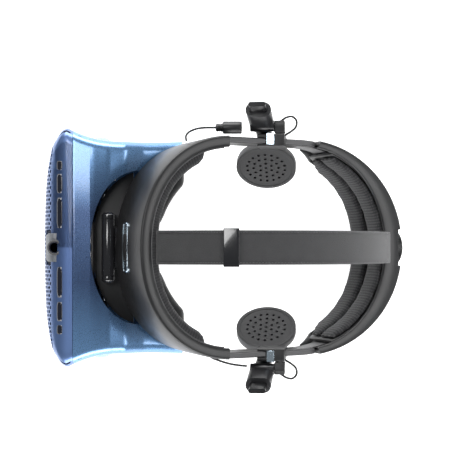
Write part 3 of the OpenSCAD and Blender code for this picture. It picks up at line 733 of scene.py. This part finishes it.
def spread(loop, count, y):
    """The loop's points made evenly spaced, starting at the middle of its top."""
    start = max(range(len(loop)), key=lambda i: (round(loop[i][1], 4), -abs(loop[i][0])))
    loop = loop[start:] + loop[:start]
    loop = [(0.0, loop[0][1])] + loop + [(0.0, loop[0][1])]
    if loop[1][0] > 0:
        loop = [(-x, z) for x, z in loop]
    lengths = [0.0]
    for a, b in zip(loop, loop[1:]):
        lengths.append(lengths[-1] + math.dist(a, b))
    out, k = [], 0
    for i in range(count):
        want = lengths[-1] * i / count
        while lengths[k + 1] < want:
            k += 1
        t = (want - lengths[k]) / max(lengths[k + 1] - lengths[k], 1e-9)
        (x0, z0), (x1, z1) = loop[k], loop[k + 1]
        out.append((x0 + (x1 - x0) * t, y, z0 + (z1 - z0) * t))
    return out


GRILLE_Y = FRONT_Y + 15.2  # where the perforated part meets the smooth border
RIM_WALL = 2.2
VENT_Y = (-149.2, -144.6)
VENTS_X = ((16.2, 41.7), (45.6, 61.6), (65.0, 72.5))
CELL = 2.25             # corner radius of one cell of the front's perforation
HOLE = 1.5
CAMERA_X = 38.0


def front_surface_y(x, z):
    """How far forward the bowed front stands at one place on it."""
    return soft_max(plan_y(x), profile_y(z))


def make_rim():
    """The smooth border of the front, from the perforated part back to the seam."""
    ys = steps(GRILLE_Y, SEAM_Y, 26)
    outer = [rim_ring(y, 0.0) for y in ys]
    inner = [rim_ring(y, RIM_WALL) for y in reversed(ys)]
    half, rise = edge_section(GRILLE_Y)
    shrink = [((half - d) / half, (rise - d) / rise) for d in (3.4, 2.4, 1.2)]
    border = []
    for sx, sz in shrink:
        line = [(x * sx, VISOR_H / 2 + (z - VISOR_H / 2) * sz) for x, _, z in outer[0]]
        border.append([(x, min(front_surface_y(x, z), GRILLE_Y - 0.3), z) for x, z in line])
    back = [[(x, y + RIM_WALL, z) for x, y, z in row] for row in reversed(border)]
    rows = border + outer + inner + back
    points, faces = skin(rows, capped=False)
    n, last = len(rows[0]), len(rows) - 1
    faces += [(last * n + k, last * n + (k + 1) % n, (k + 1) % n, k) for k in range(n)]
    piece = mesh_piece("front_rim", points, faces, BLUE_FRONT)
    sharpen(piece, 42)
    finish_piece(piece, "visor", "blue_front", "faceplate")


def make_vents():
    """The air slots in the border's top and bottom, beside the cameras, as black slabs on the surface: painted shade
    standing for the dark inside of the openings.
    """
    for sign in (-1, 1):
        for near, far in VENTS_X:
            for up in (1, -1):
                rows = []
                for x in steps(near, far, 6):
                    short = 0.8 if x in (near, far) else 0.0
                    ys = steps(VENT_Y[0] + short, VENT_Y[1] - short, 6)
                    over = [(y, edge_section(y)[1] + 0.14) for y in ys]
                    under = [(y, z - 0.6) for y, z in reversed(over)]
                    rows.append([(sign * x, y, VISOR_H / 2 + up * z) for y, z in over + under])
                # A black slab over the border: painted shade for the inside of the vent opening.
                slot = mesh_piece("vent_slot", *skin(rows), CAMERA_GLASS)
                finish_piece(slot, "visor", "blue_front")


def make_ribs():
    """The fine double rib between the vents, beside the top camera."""
    seats = []
    for sign in (-1, 1):
        for x in (42.9, 44.4):
            for z, up in ((101.6, 1), (2.4, -1)):
                seats.append(((sign * x, -147.0, z), (0, -0.35, up), (0, 1, 0)))
    ribs = scatter("vent_ribs", seats, bar_pattern(5.0, 0.7, 0.5), BLUE_SHELL)
    finish_piece(ribs, "visor", "blue_front")


def make_grille():
    """The front's perforated skin: one hexagonal cell copied over a grid and laid on the bowed front."""
    corners = [(math.cos(math.radians(60 * i)), math.sin(math.radians(60 * i))) for i in range(6)]
    points = [(r * c, 0, r * s) for r in (CELL, HOLE) for c, s in corners]
    faces = [(i, (i + 1) % 6, 6 + (i + 1) % 6, 6 + i) for i in range(6)]
    cell = pattern_piece(points, faces)
    columns, lines = 61, 27
    seats = []
    for i in range(columns):
        for j in range(lines):
            seats.append(Vector(((i - columns // 2) * 1.5 * CELL * MM, 0,
                                 (VISOR_H / 2 + (j - lines // 2 + 0.5 * (i % 2)) * math.sqrt(3) * CELL) * MM)))
    mesh = bpy.data.meshes.new("front_grille")
    mesh.from_pydata(seats, [], [])
    piece = bpy.data.objects.new("front_grille", mesh)
    bpy.context.scene.collection.objects.link(piece)

    tree = Tree("grille_tree", {
        "Cell": None, "Half Width": VISOR_W / 2 * MM, "Half Height": VISOR_H / 2 * MM, "Bow": BOW * MM,
        "Depth": SIDE_DEPTH * MM, "Perforated Half Width": 91.0 * MM, "Perforated Half Height": 47.0 * MM,
        "Bay Half Width": 14.2 * MM, "Bay Edge": 36.0 * MM, "Camera Across": CAMERA_X * MM,
        "Camera Clearance": 8.6 * MM})
    size = {entry.name: Value(tree.group, entry) for entry in tree.start.outputs if entry.name}
    spot = Value(tree.group, tree.add("GeometryNodeInputPosition")[0])
    x, _, z = spot.axes()
    lift = (z - size["Half Height"]).size()
    wide = x.size() / size["Perforated Half Width"]
    tall = lift / size["Perforated Half Height"]
    outside = (wide ** 9.0 + tall ** 9.0).above(1.0)
    in_bay = (1.0 - x.size().above(size["Bay Half Width"])) * lift.above(size["Bay Edge"])
    port = (x.size() - size["Camera Across"]) ** 2.0 + lift * lift
    in_port = 1.0 - port.above(size["Camera Clearance"] ** 2.0)
    gone = (outside + in_bay + in_port).above(0.5)
    kept = tree.add("GeometryNodeDeleteGeometry", {"domain": "POINT"}, Geometry=tree.start.outputs["Geometry"],
                    Selection=gone.socket)
    shape = tree.add("GeometryNodeObjectInfo", Object=tree.start.outputs["Cell"])
    copies = tree.add("GeometryNodeInstanceOnPoints", Points=kept[0], Instance=shape["Geometry"])
    real = tree.add("GeometryNodeRealizeInstances", Geometry=copies[0])
    share = (x / size["Half Width"]) ** 2.0
    plan = (LIP_Y + SHIFT_Y) * MM - (1.0 - share) ** 0.5 * size["Bow"]
    high = (lift / size["Half Height"]) ** FACE_N
    side = (SEAM_Y + SHIFT_Y) * MM - (1.0 - high) ** (1 / FACE_N) * size["Depth"]
    front = plan.node("ShaderNodeMath", {"operation": "SMOOTH_MAX"}, {0: plan, 1: side, 2: CORNER * MM})
    joined = tree.add("ShaderNodeCombineXYZ", X=x.socket, Y=front.socket, Z=z.socket)
    laid = tree.add("GeometryNodeSetPosition", Geometry=real[0], Position=joined[0])
    run_tree(piece, tree.done(laid[0], BLUE_FRONT), Cell=cell)
    bpy.data.objects.remove(cell)
    tidy_mesh(piece, False, merge=4e-6)
    turn_outwards(piece)
    thicken(piece, 1.1)
    finish_piece(piece, "visor", "blue_front")


def turn_outwards(piece):
    """Faces of the open front skin are made to look forwards."""
    bm = bmesh.new()
    bm.from_mesh(piece.data)
    flip = [f for f in bm.faces if f.normal.y > 0]
    bmesh.ops.reverse_faces(bm, faces=flip)
    bm.to_mesh(piece.data)
    bm.free()


def spin(name, profile, centre, axis, body, slot, finish, *nodes, sides=48):
    """A turned piece: profile is (radius, distance along the axis) and closes on the axis."""
    z = Vector(axis).normalized()
    x = z.orthogonal().normalized()
    y = z.cross(x)
    rows = []
    for r, h in profile:
        rows.append([tuple(Vector(centre) + z * h + (x * math.cos(2 * math.pi * i / sides)
                     + y * math.sin(2 * math.pi * i / sides)) * max(r, 1e-4)) for i in range(sides)])
    piece = mesh_piece(name, *skin(rows), finish)
    sharpen(piece, 30)
    finish_piece(piece, body, slot, *nodes)
    return piece


def dome(r, h0, h1, count=8):
    """Profile points of a rounded end, from radius r at h0 to the axis at h1."""
    return [(r * math.cos(math.radians(90 * i / count)), h0 + (h1 - h0) * math.sin(math.radians(90 * i / count)))
            for i in range(count + 1)]


def make_visor():
    """The visor's outer shells."""
    make_housing()
    make_rim()
    make_vents()
    make_grille()
    make_ribs()
    backing = frame["nodes"]["faceplate_backing"].data.materials
    backing.clear()
    backing.append(plastic("front_backing_navy", (0.004, 0.006, 0.02), (0.01, 0.014, 0.04), 0.5))
    softened("recess_cover", DARK, 0.3)


make_visor()


# ---------- head ring ----------
def band(name, sections, finish):
    """A closed section carried along the ring: each entry of sections is one closed loop of points."""
    return mesh_piece(name, *skin(sections), finish)


def lower_edge(v):
    """How far the halo hangs below the ring's plane at one place along it."""
    return -62.0 + 27.0 * ease((v + 46.0) / 42.0)


def halo_loop(degrees):
    _, v = curve(RING_A, RING_FRONT, FRONT_N, degrees)
    low = lower_edge(v)
    outline = [(0.0, -1.6), (0.0, low * 0.5), (0.0, low + 1.2), (0.6, low + 0.3), (1.6, low), (2.6, low + 0.6),
               (3.0, low + 1.6), (3.0, -3.4), (9.0, -3.4), (9.4, -2.6), (9.2, -1.5), (8.4, -0.9), (6.6, -0.35),
               (2.6, 0.0), (1.2, -0.25), (0.35, -0.8)]
    return [front_ring(degrees, inset, w) for inset, w in outline]


def make_halo():
    """The front half of the head ring: outer shell, inner liner and the paler lip between them."""
    shell = band("halo_ring", [halo_loop(a) for a in steps(182.6, 357.4, 120)], BLACK_SATIN)
    sharpen(shell, 40)
    finish_piece(shell, "halo", "black_satin", "halo_shell")

    def liner_loop(a):
        _, v = curve(RING_A, RING_FRONT, FRONT_N, a)
        low = lower_edge(v) + 2.2
        return [front_ring(a, i, w) for i, w in ((3.1, low), (3.1, -3.6), (5.0, -3.6), (5.0, low), (4.2, low - 0.5))]

    liner = band("halo_liner_band", [liner_loop(a) for a in steps(183.5, 356.5, 110)], GREY)
    finish_piece(liner, "halo", "dark_plastic", "halo_liner")

    def lip_loop(a):
        return [front_ring(a, i, w) for i, w in ((9.3, -3.1), (9.3, -1.7), (9.9, -1.5), (10.3, -2.0), (10.3, -2.9))]

    lip = band("halo_lip", [lip_loop(a) for a in steps(186, 354, 110)], GREY)
    finish_piece(lip, "halo", "dark_plastic")


def soften_cloth(piece, cell, pressure, frames=20):
    """Inflates a closed shape as cloth, so that it bulges and creases like a stuffed cover."""
    remesh = piece.modifiers.new("even", "REMESH")
    remesh.mode = "VOXEL"
    remesh.voxel_size = cell * MM
    bake(piece)
    still = piece.data.copy()
    cloth = piece.modifiers.new("stuffed", "CLOTH")
    cloth.settings.quality = 6
    cloth.settings.mass = 0.2
    cloth.settings.tension_stiffness = 60
    cloth.settings.compression_stiffness = 60
    cloth.settings.shear_stiffness = 30
    cloth.settings.bending_stiffness = 2
    cloth.settings.use_pressure = True
    cloth.settings.uniform_pressure_force = pressure
    cloth.settings.effector_weights.gravity = 0
    cloth.collision_settings.use_collision = False
    cloth.point_cache.frame_start = 1
    cloth.point_cache.frame_end = frames
    for f in range(1, frames + 1):
        bpy.context.scene.frame_set(f)
    bake(piece)
    bpy.context.scene.frame_set(1)
    for before, after in zip(still.vertices, piece.data.vertices):
        move = after.co - before.co
        if move.length > 1.5 * MM:
            after.co = before.co + move.normalized() * 1.5 * MM
    bpy.data.meshes.remove(still)
    return piece


def ring_unwrap(piece, rear):
    """Gives a pad a map with the distance along the ring and down it, in metres, for its ribs."""
    layer = piece.data.uv_layers.new(name="along")
    shift = RING_STRAIGHT if rear else 0.0
    for loop in piece.data.loops:
        x, y, z = (c / MM for c in piece.data.vertices[loop.vertex_index].co)
        y, z = y - SHIFT_Y, z - RING_Z
        v = y * math.cos(TILT) - z * math.sin(TILT) - shift
        w = y * math.sin(TILT) + z * math.cos(TILT)
        layer.data[loop.index].uv = (math.atan2(x, v if rear else -v) * 72 * MM, w * MM)


def pad_section(thickness, low, high, face):
    """One cross-section of a pad: soft on the side that touches the head."""
    r = min(5.0, (high - low) * 0.24, thickness * 0.6)
    outline = [(0, low + 0.8), (0, high - 0.8), (0.8, high)]
    outline += [(thickness - r + r * math.sin(math.radians(a)), high - r + r * math.cos(math.radians(a)))
                for a in (0, 22, 45, 68, 90)]
    outline += [(thickness + face, (high + low) / 2)]
    outline += [(thickness - r + r * math.cos(math.radians(a)), low + r - r * math.sin(math.radians(a)))
                for a in (0, 22, 45, 68, 90)]
    return outline + [(0.8, low)]


def make_forehead_pad():
    """The ribbed pad inside the front of the ring, thinner at its ends."""
    loops = []
    for a in steps(196.5, 343.5, 96):
        _, v = curve(RING_A, RING_FRONT, FRONT_N, a)
        fade = min(1.0, (a - 194.5) / 9, (345.5 - a) / 9)
        low = max(-55.0, lower_edge(v) + 4)
        deep = 12.6 * (0.35 + 0.65 * ease(fade))
        loops.append([front_ring(a, 5.4 + d, w) for d, w in pad_section(deep, low, -4.2, 0.7)])
    pad = band("forehead_pad_cover", loops, PAD)
    soften_cloth(pad, 3.6, 4.0)
    ring_unwrap(pad, False)
    smooth_out(pad)
    finish_piece(pad, "halo", "pad_fabric", "forehead_pad")


def smooth_out(piece):
    """One subdivision, with every face shaded smooth."""
    piece.modifiers.new("smooth", "SUBSURF").levels = 1
    bake(piece)
    piece.data.polygons.foreach_set("use_smooth", [True] * len(piece.data.polygons))
    return piece


def make_arms():
    """The two side arms that join the halo to the rear cradle, each with a paler top edge."""
    for sign, side in ((1, "left"), (-1, "right")):
        def arm_loop(v, outline):
            if v < 0:
                a = 360 + math.degrees(math.asin(max(-1, -(abs(v) / RING_FRONT) ** (FRONT_N / 2))))
                return [(sign * p[0],) + p[1:] for p in (front_ring(a, i, w) for i, w in outline)]
            if v <= RING_STRAIGHT:
                return [(sign * (RING_A - i),) + ring(0, v, w)[1:] for i, w in outline]
            a = math.degrees(math.asin(((v - RING_STRAIGHT) / RING_REAR) ** (REAR_N / 2)))
            return [(sign * p[0],) + p[1:] for p in (rear_ring(a, RING_A - i, RING_REAR - i, w) for i, w in outline)]
        body = [(0.0, -9.2), (0.0, -33.0), (0.6, -34.0), (4.4, -34.0), (5.0, -33.4), (5.0, -9.4),
                (4.6, -9.0), (0.3, -9.0)]
        edge = [(0.5, -9.05), (0.9, -8.0), (4.1, -8.0), (4.5, -9.05)]
        vs = steps(-3.7, 0, 3)[:-1] + steps(0, 64, 20)[:-1] + steps(64, 79.6, 8)
        arm = mesh_piece("arm_band_" + side, *skin([arm_loop(v, body) for v in vs]), DARK)
        sharpen(arm, 38)
        finish_piece(arm, "halo", "dark_plastic", "arm_" + side)
        trim = mesh_piece("arm_trim_" + side, *skin([arm_loop(v, edge) for v in vs]), GREY)
        sharpen(trim, 30)
        finish_piece(trim, "halo", "dark_plastic")


def make_barrel():
    """The flip hinge: the fixed barrel on its bracket and the domed ends that turn with the visor."""
    half = BARREL_LEN / 2
    softened("hinge_bracket", BLACK_GLOSS, 0.5)
    for sign in (-1, 1):
        profile = [(0, half + 0.15), (BARREL_R - 0.7, half + 0.15), (BARREL_R - 0.05, half + 0.5),
                   (BARREL_R, half + 1.0)] + dome(BARREL_R, half + 1.6, half + 5.7)
        spin("hinge_dome_" + ("left" if sign > 0 else "right"), profile, BARREL, (sign, 0, 0), "visor",
             "black_gloss", BLACK_GLOSS)
    softened("hinge_caps", BLACK_GLOSS, 0.4)


def make_badge():
    """A plain stadium plate on the front of the ring."""
    outline = round_rect(-21, 21, -44.5, -31.5, 6.4, 8)
    rows = []
    for inset, v in ((0.0, -79.8), (0.0, -81.5), (0.35, -81.9), (1.0, -82.05), (1.5, -81.6)):
        rows.append([ring(u * (21 - inset) / 21, v, -38 + (w + 38) * (6.5 - inset) / 6.5) for u, w in outline])
    plate = mesh_piece("badge_plate_face", *skin(rows), PALE_METAL)
    sharpen(plate, 28)
    finish_piece(plate, "halo", "bright_metal", "badge_plate")


make_halo()
make_forehead_pad()
make_arms()
make_barrel()
make_badge()


# ---------- rear cradle and dial ----------
DIAL_V = 159.0
DIAL_AXIS = (0, math.cos(TILT), -math.sin(TILT))


def corner_low(v, low, lift=0.0):
    """The cradle's lower edge, which rises towards the ear speakers' way out."""
    return max(low, -36.0 - (v - 84.0) * 0.875 + lift)


def make_rear():
    """The hollow rear cradle with its dial notch, and its two ribbed pads."""
    def loop(a):
        v = RING_STRAIGHT + curve(RING_A, RING_REAR, REAR_N, a)[1]
        edge = corner_low(v, -57.5)
        outline = ((0, 0, edge + 1.5), (0, 0, -1.6), (0, 0.5, -0.5), (0, 1.6, 0), (0.55, 0, 0.15),
                   (1, -1.2, 0), (1, -0.4, -0.3),
                   (1, 0, -1.0), (1, 0, -2.4), (0, 2.4, -2.4), (0, 2.4, edge + 2.4), (1, 0, edge + 2.4),
                   (1, 0, edge + 0.5), (1, -0.6, edge), (0, 1.6, edge), (0, 0.4, edge + 0.4))
        return [rear_ring(a, RING_A - 6 * t - i, RING_REAR - 18 * t - i, w) for t, i, w in outline]

    shell = mesh_piece("rear_cradle", *skin([loop(a) for a in steps(9.3, 170.7, 150)]), BLACK_SATIN)
    notch = [(16, 40), (16, RACK_W)] + [(18 * math.cos(math.radians(a)), RACK_W + 18 * math.sin(math.radians(a)))
                                        for a in steps(0, -180, 40)] + [(-16, RACK_W), (-16, 40)]
    cut(shell, mesh_piece("tool", *skin([[ring(u, v, w) for u, w in notch] for v in (DIAL_V, 185)]), DARK))
    sharpen(rounded_edges(shell, 0.35, 2, 45), 40)
    finish_piece(shell, "rear", "black_satin", "rear_shell")
    for name, low, high in (("rear_pad_upper", -26.5, -3.2), ("rear_pad_lower", -54.3, -29.0)):
        loops = []
        for a in steps(20.6, 159.4, 90):
            deep = 5.2 * (0.4 + 0.6 * ease(min(1.0, (a - 19) / 8, (161 - a) / 8)))
            bottom = corner_low(RING_STRAIGHT + curve(84, 84, REAR_N, a)[1], low, 3.4)
            loops.append([rear_ring(a, 84.1 - d, 84.2 - d, w) for d, w in pad_section(deep, bottom, high, 0.5)])
        pad = mesh_piece(name + "_cover", *skin(loops), PAD)
        soften_cloth(pad, 3.2, 4.0)
        ring_unwrap(pad, True)
        smooth_out(pad)
        finish_piece(pad, "rear", "pad_fabric", name)


def make_dial():
    """The size dial with its ring of knurls."""
    hub = ring(0, DIAL_V, RACK_W)
    profile = [(0, 0.1), (15.9, 0.1), (16.4, 0.6), (16.4, 7.9), (15.8, 8.6), (13.4, 8.95), (12.6, 8.7), (12.1, 7.7),
               (4, 7.3), (0, 7.3)]
    spin("dial_body", profile, hub, DIAL_AXIS, "dial", "dark_plastic", BLACK_SATIN, "size_dial", sides=72)
    seats = []
    for i in range(48):
        a = math.radians(360 * i / 48)
        out = Vector(ring(math.cos(a), 0, math.sin(a))) - Vector(ring(0, 0, 0))
        seats.append((tuple(Vector(hub) + out * 16.3 + Vector(DIAL_AXIS) * 4.3), out, DIAL_AXIS))
    knurls = scatter("dial_knurls", seats, bar_pattern(7.4, 1.3, 0.6), BLACK_SATIN)
    finish_piece(knurls, "dial", "dark_plastic")


# ---------- top strap ----------
STRAP_LINE = ((-62, 147), (-35, 173), (95, 201), (135, 62))
STRAP_W = 27.0


def strap_at(t):
    """Point, direction and upward normal on the strap's middle line."""
    k = ((1 - t) ** 3, 3 * t * (1 - t) ** 2, 3 * t * t * (1 - t), t ** 3)
    y, z = (sum(w * p[i] for w, p in zip(k, STRAP_LINE)) for i in (0, 1))
    d = (3 * (1 - t) ** 2, 6 * t * (1 - t), 3 * t * t)
    legs = [(b[0] - a[0], b[1] - a[1]) for a, b in zip(STRAP_LINE, STRAP_LINE[1:])]
    dy, dz = (sum(w * leg[i] for w, leg in zip(d, legs)) for i in (0, 1))
    size = math.hypot(dy, dz)
    return (y, z), (dy / size, dz / size), (-dz / size, dy / size)


def strap_row(t, outline):
    (y, z), _, (ny, nz) = strap_at(t)
    return [(x, y + ny * h, z + nz * h) for x, h in outline]


def make_strap():
    """The textile strap over the head, stitched along both edges, and its buckle."""
    half, thin = STRAP_W / 2, 0.95
    across = [-1 + 2 * i / 12 for i in range(13)]
    top = [(x * half, thin * (1 - 0.35 * x ** 8)) for x in across]
    outline = top + [(x, -h) for x, h in reversed(top)]
    strap = mesh_piece("top_strap_band", *skin([strap_row(t, outline) for t in steps(0, 1, 120)]), STRAP)
    length = sum(math.dist(strap_at(i / 200)[0], strap_at((i + 1) / 200)[0]) for i in range(200))
    seats = []
    for i in range(2, 96):
        (y, z), (dy, dz), (ny, nz) = strap_at(i / 98)
        for x in (-half + 1.7, half - 1.7):
            seats.append(((x, y + ny * 0.95, z + nz * 0.95), (0, ny, nz), (0, dy, dz)))
    stitches = scatter("strap_stitches", seats, bar_pattern(1.5, 0.42, 0.22), GREY)
    start, end = place((0, *strap_at(0.12)[0])), place((0, *strap_at(0.9)[0]))
    for piece in (strap, stitches):
        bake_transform(piece)
    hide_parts("top_strap")
    softened("strap_buckle", BLACK_GLOSS, 0.5, 3)


def make_racks():
    """The two flexible strips that the dial draws in."""
    source = frame["nodes"]["rack_straps"]
    strips = bpy.data.objects.new("rack_strips", source.data.copy())
    bpy.context.scene.collection.objects.link(strips)
    strips.data.materials.clear()
    strips.data.materials.append(GREY)
    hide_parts("rack_straps")
    place(ring(0, 74, RACK_W))
    place(ring(0, 96, RACK_W))
    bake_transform(strips)


# ---------- leads ----------
def smooth_line(points, parts=6):
    """The Catmull-Rom curve through the points."""
    out = []
    for i in range(len(points) - 1):
        four = [points[max(i - 1, 0)], points[i], points[i + 1], points[min(i + 2, len(points) - 1)]]
        for k in range(parts):
            t = k / parts
            out.append(tuple(0.5 * (2 * b + (c - a) * t + (2 * a - 5 * b + 4 * c - d) * t * t
                                    + (3 * b - a - 3 * c + d) * t ** 3) for a, b, c, d in zip(*four)))
    return out + [tuple(points[-1])]


def tube(name, line, radius, finish, sides=12):
    """A round tube along a line, turned as little as possible from ring to ring."""
    rows, side = [], None
    for i, p in enumerate(line):
        ahead = Vector(line[min(i + 1, len(line) - 1)]) - Vector(line[max(i - 1, 0)])
        ahead.normalize()
        side = ahead.orthogonal() if side is None else side - ahead * side.dot(ahead)
        side.normalize()
        other = ahead.cross(side)
        rows.append([tuple(Vector(p) + (side * math.cos(2 * math.pi * k / sides)
                     + other * math.sin(2 * math.pi * k / sides)) * radius) for k in range(sides)])
    return mesh_piece(name, *skin(rows), finish)


LEAD_D = 1.8
LEADS = {
    "front_lead_right": ((-88, -40, 118), (-92, -40.5, 116), (-95.5, -38, 114), (-98, -33, 112.5),
                         (-99.2, -27, 111.5), (-99.5, -21, 111), (-99.5, -16, 111)),
    "front_lead_left": ((89.5, -22, 106), (92, -19, 106), (94, -14, 106), (96, -8, 106), (97.5, -2, 105.5),
                        (98.4, 4, 105), (99, 10, 104.5)),
    "loop_lead_left": ((106, 38, 98), (109, 43, 101), (109.5, 48, 103), (106, 51.5, 103), (101, 51, 101),
                       (97.5, 47, 98), (96, 44, 94), (95.2, 42.6, 89)),
}
LEADS["loop_lead_right"] = tuple((-x, y, z) for x, y, z in LEADS["loop_lead_left"])


def make_leads():
    """The four thin leads and the barrel connector in one of them."""
    for node, points in LEADS.items():
        line = smooth_line(points)
        lead = tube(node + "_cord", line, LEAD_D / 2, LEAD)
        path = [place(p) for p in line]
        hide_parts(node)
        if node.startswith("loop"):
            "swing_" + node.split("_")[-1]
            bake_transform(lead)
        else:
            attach(lead, "halo")
    profile = [(0, 0), (2.3, 0), (3.1, 0.5), (3.4, 1.3), (3.4, 2.0), (3.0, 2.2), (3.0, 2.7), (3.4, 2.9), (3.4, 3.6),
               (3.0, 3.8), (3.0, 4.3), (3.4, 4.5), (3.5, 5.6), (4.9, 6.1), (5.2, 6.9), (5.2, 20.7), (4.7, 21.6),
               (0, 22)]
    spin("lead_barrel", profile, (-99.5, -16, 111), (0, 1, 0), "halo", "dark_plastic", BLACK_SATIN, "lead_connector")


# ---------- cameras, cushion and the rest ----------
def make_cameras():
    """The camera windows, and the lens in the top one."""
    module = softened("centre_cameras", CAMERA_RIM, 1.0, 4)
    for vertex in module.data.vertices:
        vertex.co.y -= 0.9 * MM
        if vertex.co.z > VISOR_H / 2 * MM:
            vertex.co.z += 1.3 * MM
    softened("side_cameras", CAMERA_BLUE, 0.5, 3)
    softened("front_cameras", CAMERA_GLASS, 0.4, 3)
    lens = [(0, 0.2), (5.0, 0.2), (5.0, 3.1), (4.6, 3.5), (4.0, 3.2), (3.7, 2.0)] + dome(3.6, 1.4, 2.6, 6)
    spin("top_camera_lens", lens, (0, -151, 98.9), (0, 0, 1), "visor", "camera_dark", CAMERA_GLASS)
    ring_rows = [(4.9, 2.9), (5.0, 3.3), (5.6, 3.4), (6.4, 3.3), (6.6, 2.9)]
    spin("top_camera_ring", [(4.8, 2.8)] + ring_rows + [(6.6, 2.8)], (0, -151, 98.9), (0, 0, 1), "visor",
         "camera_rim", GREY)


def make_cushion():
    """The soft ring that meets the face."""
    cushion = softened("face_cushion", FOAM, 1.6, 3)
    soften_cloth(cushion, 3.4, 3.0)
    smooth_out(cushion)


FINISHES = {"blue_shell": BLUE_SHELL, "blue_front": BLUE_FRONT, "front_mesh": DARK, "black_gloss": BLACK_GLOSS,
            "black_satin": BLACK_SATIN, "dark_plastic": DARK, "pod_plastic": POD, "bar_plastic": BAR,
            "ear_plastic": EAR,
            "ear_mesh": EAR, "pad_fabric": PAD, "skin_foam": FOAM, "strap_textile": STRAP, "rack_strip": GREY,
            "bright_metal": PALE_METAL, "pin_steel": STEEL, "sink_metal": STEEL, "lead_rubber": LEAD, "board": BOARD,
            "panel": CAMERA_GLASS, "camera_rim": CAMERA_RIM, "camera_dark": CAMERA_GLASS, "camera_blue": CAMERA_BLUE,
            "lens": LENS}
REPLACED = {"faceplate", "faceplate_backing", "visor_housing", "recess_cover", "hinge_bracket", "hinge_caps",
            "halo_shell", "halo_liner", "forehead_pad", "arm_left", "arm_right", "badge_plate", "rear_shell",
            "rear_pad_upper", "rear_pad_lower", "size_dial", "top_strap", "strap_buckle", "rack_straps",
            "lead_connector", "centre_cameras", "side_cameras", "front_cameras", "face_cushion"} | set(LEADS)
EDGES = {"ear_cup": 0.8, "sleeve": 1.2, "hanger_l": 0.6, "hanger_r": 0.6, "clip_l": 0.8, "clip_r": 0.8}


def make_the_rest():
    """Every piece without a shape of its own above keeps its CAD shape, with edges rounded."""
    for entry in frame["record"]["subparts"]:
        node = entry["node"]
        if node in REPLACED:
            continue
        width = next((w for key, w in EDGES.items() if node.startswith(key)), 0.2)
        softened(node, FINISHES[entry["material_slot"]], width, 3 if width > 0.3 else 1)


make_rear()
make_dial()
make_strap()
make_racks()
make_leads()
make_cameras()
make_cushion()
make_the_rest()
